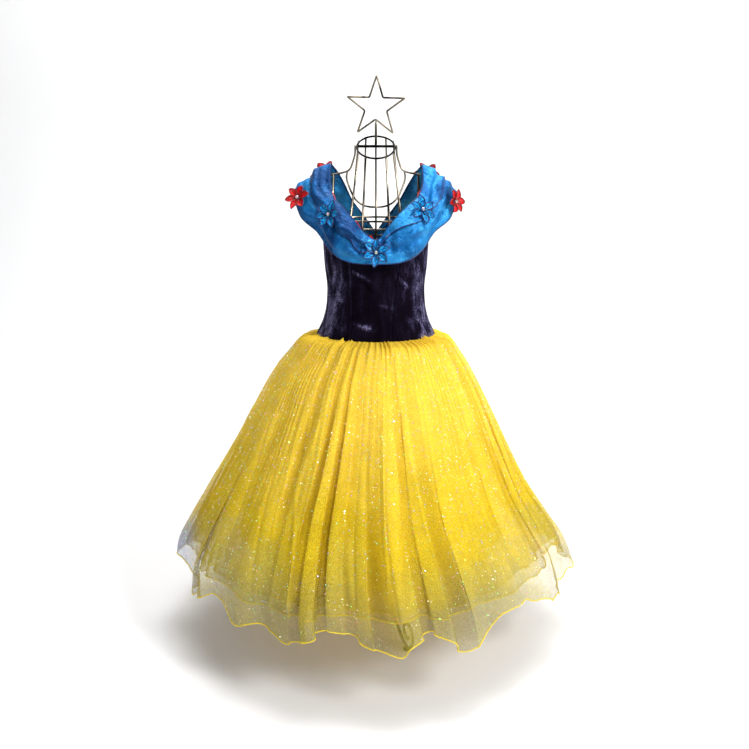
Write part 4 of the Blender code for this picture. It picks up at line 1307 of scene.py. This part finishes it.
form = {
    "wireRadius": 0.0016,
    "shownRadius": 0.0019,  # the plated wire, a little thicker than its core
    "rodRadius": 0.0024,
    "barRadius": 0.0027,
    "poleRadius": 0.0080,
    "legRadius": 0.0030,
    "gap": 0.0003,
    "neckHeight": 0.999,
    "neckRadius": 0.037,
    "neckTilt": 35.0,
    "barRise": 0.0018,
    "starRadius": 0.0585,
    "starLean": 1.5,
    "starHeight": 1.0740,
    "starCorner": 0.0024,
    "shoulderHeight": 0.9465,
    # height, half width, half depth
    "sections": [
        (0.588, 0.1060, 0.0800),
        (0.650, 0.0980, 0.0750),
        (0.724, 0.0947, 0.0742),
        (0.780, 0.0960, 0.0740),
        (0.834, 0.0965, 0.0725),
        (0.862, 0.0950, 0.0670),
    ],
    "ribHeights": (0.860, 0.834, 0.780, 0.724, 0.650, 0.588),
    "hipHeight": 0.590,
    "ringHeights": {"ring_chest": 0.860, "ring_bust": 0.834, "ring_waist": 0.724},
    # node: angle on the neck ring, angle on the body
    "ribs": {
        "rib_front": (0, 0),
        "rib_front_left_1": (-29, -15.8),
        "rib_front_left_2": (-57, -31.5),
        "rib_front_right_1": (29, 15.8),
        "rib_front_right_2": (57, 31.5),
        "rib_back": (180, 180),
        "rib_back_left_1": (-151, -164.2),
        "rib_back_left_2": (-123, -148.5),
        "rib_back_right_1": (151, 164.2),
        "rib_back_right_2": (123, 148.5),
    },
    "shoulderRibs": {
        "rib_shoulder_front_left": -62,
        "rib_shoulder_front_right": 62,
        "rib_shoulder_back_left": -118,
        "rib_shoulder_back_right": 118,
    },
    "scoop": {-57: 0.904, -29: 0.890, 0: 0.887, 29: 0.890, 57: 0.904},
    "scoopEnd": 0.0562,
}


def cageOval(angle, height, inset=0.0):
    levels, wide, deep = np.array(form["sections"]).T
    turn = np.radians(angle)
    halfWidth = steady(levels, wide, height) - inset
    halfDepth = steady(levels, deep, height) - inset
    return np.stack(
        [halfWidth * np.sin(turn), -halfDepth * np.cos(turn), height + 0 * turn], -1
    )


def neckPoint(angle, radius):
    # a circle that tips down to the front
    turn, tilt = np.radians(angle), math.radians(form["neckTilt"])
    return np.stack(
        [
            radius * np.sin(turn),
            -radius * np.cos(turn) * math.cos(tilt),
            form["neckHeight"] - radius * np.cos(turn) * math.sin(tilt),
        ],
        -1,
    )


def ribPath(neckAngle, bodyAngle):
    pitch = 2 * form["wireRadius"] + form["gap"]
    start = neckPoint(float(neckAngle), form["neckRadius"] + pitch)
    body = [cageOval(float(bodyAngle), h) for h in form["ribHeights"]]
    hollow = np.array([0.0, math.cos(math.radians(neckAngle)), 0.0]) * 0.004
    upper = [
        start + (body[0] - start) * t + hollow * math.sin(math.pi * t)
        for t in (0.0, 0.35, 0.70)
    ]
    return np.array(upper + body)


def atHeight(path, height):
    path = path[::-1]
    return np.array([np.interp(height, path[:, 2], path[:, i]) for i in range(3)])


def addWireForm(brass, black):
    radius, shown, gap = form["wireRadius"], form["shownRadius"], form["gap"]
    pitch = 2 * radius + gap
    forward, upward, sideways = np.eye(3)[1], np.eye(3)[2], np.eye(3)[0]
    circle = np.arange(72) * 5.0
    ring = neckPoint(circle, form["neckRadius"])
    facing = np.array([0, -math.sin(math.radians(form["neckTilt"])), 1.0])
    addTubes("neckRing", [(ring, shown, facing, 12, True)], black, ["neck_ring"])

    reach = form["neckRadius"] - radius - 2 * gap
    barHeight = form["neckHeight"] + form["barRise"]
    bar = bend([(-reach, 0, barHeight), (reach, 0, barHeight)], 9)
    addTubes(
        "neckBar", [(bar, form["barRadius"], upward, 14, False)], black, ["neck_bar"]
    )

    starInner = form["starRadius"] * math.sin(math.radians(18)) / math.sin(math.radians(54))
    notch = form["starHeight"] - starInner - radius - 5 * gap
    foot = barHeight + form["barRadius"] + gap
    post = np.linspace((0, 0, foot), (0, 0, notch), 24)
    width = form["rodRadius"] * np.where(post[:, 2] > notch - 0.0050, 0.75, 1.0)
    width[-1] *= 0.4
    addTubes("finialRod", [(post, width, forward, 12, False)], brass, ["finial_rod"])

    corners = []
    for i in range(10):
        turn = math.radians(36 * i + form["starLean"])
        r = starInner if i % 2 else form["starRadius"]
        corners.append((r * math.sin(turn), 0.0, form["starHeight"] + r * math.cos(turn)))
    corners = np.array(corners)
    before = unit(np.roll(corners, 1, axis=0) - corners) * form["starCorner"]
    after = unit(np.roll(corners, -1, axis=0) - corners) * form["starCorner"]
    share = np.linspace(0, 1, 7)[None, :, None]
    # each corner is a quadratic arc from one side of it to the other
    arcs = (
        (corners + before)[:, None] * (1 - share) ** 2
        + corners[:, None] * 2 * share * (1 - share)
        + (corners + after)[:, None] * share**2
    )
    addTubes(
        "finialStar",
        [(arcs.reshape(-1, 3), shown, forward, 12, True)],
        brass,
        ["finial_star"],
    )

    for side, node in ((-1, "shoulder_wire_left"), (1, "shoulder_wire_right")):
        start = form["neckRadius"] + pitch
        line = [
            (start, 1.003),
            (start + 0.0006, 0.986),
            (0.0460, 0.969),
            (0.0500, 0.959),
            (form["scoopEnd"], 0.9535),
            (0.0700, 0.9495),
            (0.0885, form["shoulderHeight"]),
        ]
        path = bend([(side * x, 0, z) for x, z in line], 48)
        name = "shoulderWire" + ("Left" if side < 0 else "Right")
        addTubes(name, [(path, shown, forward, 12, False)], brass, [node])

    tubes, scoop = [], []
    for node, (neckAngle, bodyAngle) in form["ribs"].items():
        path = ribPath(neckAngle, bodyAngle)
        tubes.append((bend(path, 72), shown, sideways, 10, False))
        if neckAngle in form["scoop"]:
            place = atHeight(path, form["scoop"][neckAngle])
            place[:2] *= 1 - pitch / np.linalg.norm(place[:2])
            scoop.append(place)
    for node, bodyAngle in form["shoulderRibs"].items():
        side, front = math.copysign(1, bodyAngle), -1 if abs(bodyAngle) < 90 else 1
        top = (side * 0.0838, front * pitch, form["shoulderHeight"] + 0.0008)
        upper = (side * 0.0842, front * 0.020, 0.908)
        lower = [cageOval(float(bodyAngle), h) for h in form["ribHeights"]]
        tubes.append((bend([top, upper, *lower], 72), shown, sideways, 10, False))
    addTubes(
        "formRibs", tubes, brass, [*form["ribs"], *form["shoulderRibs"]]
    )

    scoop.sort(key=lambda p: p[0])
    ends = [
        [
            (side * form["scoopEnd"], -pitch, 0.9515),
            (side * (form["scoopEnd"] + 0.0002), -pitch - 0.0090, 0.9360),
        ]
        for side in (-1, 1)
    ]
    path = bend([*ends[0], *scoop, ends[1][1], ends[1][0]], 90)
    addTubes("scoopWire", [(path, shown, forward + upward, 10, False)], brass,
             ["scoop_wire"])

    rings = [(h, n) for n, h in form["ringHeights"].items()] + [(form["hipHeight"], "ring_hip")]
    tubes = [(cageOval(circle, h, pitch), shown, upward, 10, True) for h, _ in rings]
    addTubes("formRings", tubes, brass, [n for _, n in rings])

    rod = form["rodRadius"]
    foot = float(cageOval(90.0, form["hipHeight"], pitch + radius + 2 * gap)[0])
    deep = -float(cageOval(0.0, form["hipHeight"], pitch)[1])
    lowBar = form["hipHeight"] - radius - gap - rod
    highBar = lowBar + 2 * rod + gap
    acrossX = np.linspace((-foot, 0, highBar), (foot, 0, highBar), 9)
    acrossY = np.linspace((0, -deep, lowBar), (0, deep, lowBar), 9)
    addTubes(
        "baseBars",
        [(acrossX, rod, upward, 12, False), (acrossY, rod, upward, 12, False)],
        brass,
        ["base_bar_x", "base_bar_y"],
    )
    return lowBar - rod - gap


# The stand

stand = {
    "legs": {"leg_front": 22.0, "leg_right_back": 142.0, "leg_left_back": -98.0},
    "glides": ("glide_front", "glide_right_back", "glide_left_back"),
    "poleFoot": 0.110,
    "legTop": 0.300,
    "scrollRadius": 0.030,
    "scrollEnd": 0.010,
    "scrollTurns": 1.15,
    "footReach": 0.172,
    "glideRadius": 0.0075,
    "glideHeight": 0.004,
    # a turned pole: height, radius beyond the plain pole
    "rings": ((0.118, 0.0025), (0.302, 0.0022), (0.420, 0.0018), (0.560, 0.0018)),
}


def legPath(angle):
    footHeight = stand["glideHeight"] + form["gap"] + form["legRadius"]
    reach = [form["poleRadius"] + form["legRadius"] + form["gap"], 0.017, 0.034, 0.064, 0.104, 0.144]
    height = [stand["legTop"], 0.250, 0.170, 0.096, 0.044, 0.013]
    share = np.linspace(0, 1, 16)
    radius = stand["scrollRadius"] + (stand["scrollEnd"] - stand["scrollRadius"]) * share
    turn = 2 * np.pi * stand["scrollTurns"] * share
    across = np.concatenate([reach, stand["footReach"] + radius * np.sin(turn)])
    up = np.concatenate(
        [height, footHeight + stand["scrollRadius"] - radius * np.cos(turn)]
    )
    around = math.radians(angle)
    return np.stack([across * math.sin(around), -across * math.cos(around), up], -1)


def addStand(poleTop, black):
    upward = np.array([0.0, 0.0, 1.0])
    height = np.linspace(stand["poleFoot"], poleTop, 160)
    swell = sum(
        size * np.exp(-(((height - z) / 0.0035) ** 2)) for z, size in stand["rings"]
    )
    path = np.stack([0 * height, 0 * height, height], -1)
    sideways = np.array([1.0, 0.0, 0.0])
    addTubes(
        "standPole",
        [(path, form["poleRadius"] + swell * 0.0, sideways, 20, False)],
        black,
        ["stand_pole"],
    )
    for (node, angle), glide in zip(stand["legs"].items(), stand["glides"]):
        around = math.radians(angle)
        facing = np.array([math.cos(around), math.sin(around), 0.0])
        title = "".join(word.capitalize() for word in node.split("_"))[3:]
        path = bend(legPath(angle), 150)
        addTubes(
            "leg" + title, [(path, form["legRadius"], facing, 10, False)], black, [node]
        )
        x, y = stand["footReach"] * math.sin(around), -stand["footReach"] * math.cos(around)
        pad = np.array([(x, y, z) for z in (0.0, 0.0006, 0.0034, stand["glideHeight"])])
        widths = stand["glideRadius"] * np.array([0.93, 1.0, 1.0, 0.93])
        addTubes(
            "glide" + title, [(pad, widths, sideways, 20, False)], black, [glide]
        )


def addFloor():
    # a floor that curves up behind the dress: flat, a quarter circle, then upright
    start, radius = view["sweepStart"], view["sweepRadius"]
    turn = np.radians(np.linspace(0, 90, 24))
    deep = np.concatenate([[view["floorFront"]], start + radius * np.sin(turn), [start + radius]])
    high = np.concatenate([[0], radius * (1 - np.cos(turn)), [view["sweepTop"]]]) - 0.0005
    across = np.array([0.5, -0.5])[None, :] * -view["floorWidth"]
    points = np.stack([across + 0 * deep[:, None], deep[:, None] + 0 * across,
                       high[:, None] + 0 * across], -1)
    mesh = bpy.data.meshes.new("floor")
    mesh.from_pydata(points.reshape(-1, 3).tolist(), [], gridFaces(len(deep), 2).tolist())
    mesh.polygons.foreach_set("use_smooth", [True] * len(mesh.polygons))
    mesh.materials.append(floorFinish())
    floor = bpy.data.objects.new("floor", mesh)
    bpy.context.scene.collection.objects.link(floor)


def main():
    setCamera()
    setLights()
    addFloor()
    scene = bpy.context.scene
    scene.view_settings.view_transform = "Standard"
    scene.cycles.transparent_max_bounces = 40
    print("camera, light and floor are set")

    satin = satinFinish(
        "blueSatin", (0.000, 0.034, 0.150), (0.002, 0.118, 0.375), (0.028, 0.300, 0.700)
    )
    rolled = edgeFinish("rolledBlueEdge", (0.002, 0.022, 0.150), 0.35)
    addCollar(satin, rolled)
    addBodice(velvetFinish())
    addFacing(satinFinish("redSatin", (0.35, 0.0, 0.003), (0.72, 0.004, 0.012), (0.9, 0.03, 0.03)))
    print("bodice and collar are made")

    crystal = crystalFinish()
    finishes = {
        "blue": (
            petalFinish("bluePetal", (0.001, 0.045, 0.25), (0.004, 0.34, 0.86), (0.06, 0.66, 1.0)),
            edgeFinish("bluePetalWire", (0.001, 0.014, 0.110), 0.35),
            crystal,
        ),
        "red": (
            petalFinish("redPetal", (0.42, 0.0, 0.001), (0.86, 0.002, 0.004), (1.0, 0.010, 0.012)),
            edgeFinish("redPetalWire", (0.26, 0.001, 0.002), 0.35),
            crystal,
        ),
    }
    for seed, row in enumerate(flowers["rows"]):
        addFlower(row, finishes, seed + 3)
    print("flowers are made")

    thread = edgeFinish("yellowThread", skirt["threadColour"], 0.55)
    cloths = [tulleFinish("glitterTulle"), tulleFinish("plainTulle"), tulleFinish("plainTulle")]
    cloths.append(slipFinish())
    layers = [addSkirtLayer(*pair, thread) for pair in zip(skirt["layers"], cloths)]
    for name in ("dust", "sparkle"):
        addGlitter(name, *layers[0], glitterFinish(name + "Glitter", glitter[name]["glow"]))
    print("skirt is made")

    brass = wireFinish("antiqueBrass", (0.022, 0.018, 0.014), (0.36, 0.31, 0.23))
    black = wireFinish("blackWire", (0.006, 0.006, 0.006), (0.022, 0.021, 0.02))
    poleTop = addWireForm(brass, black)
    addStand(poleTop, black)
    print("wire form and stand are made")


main()
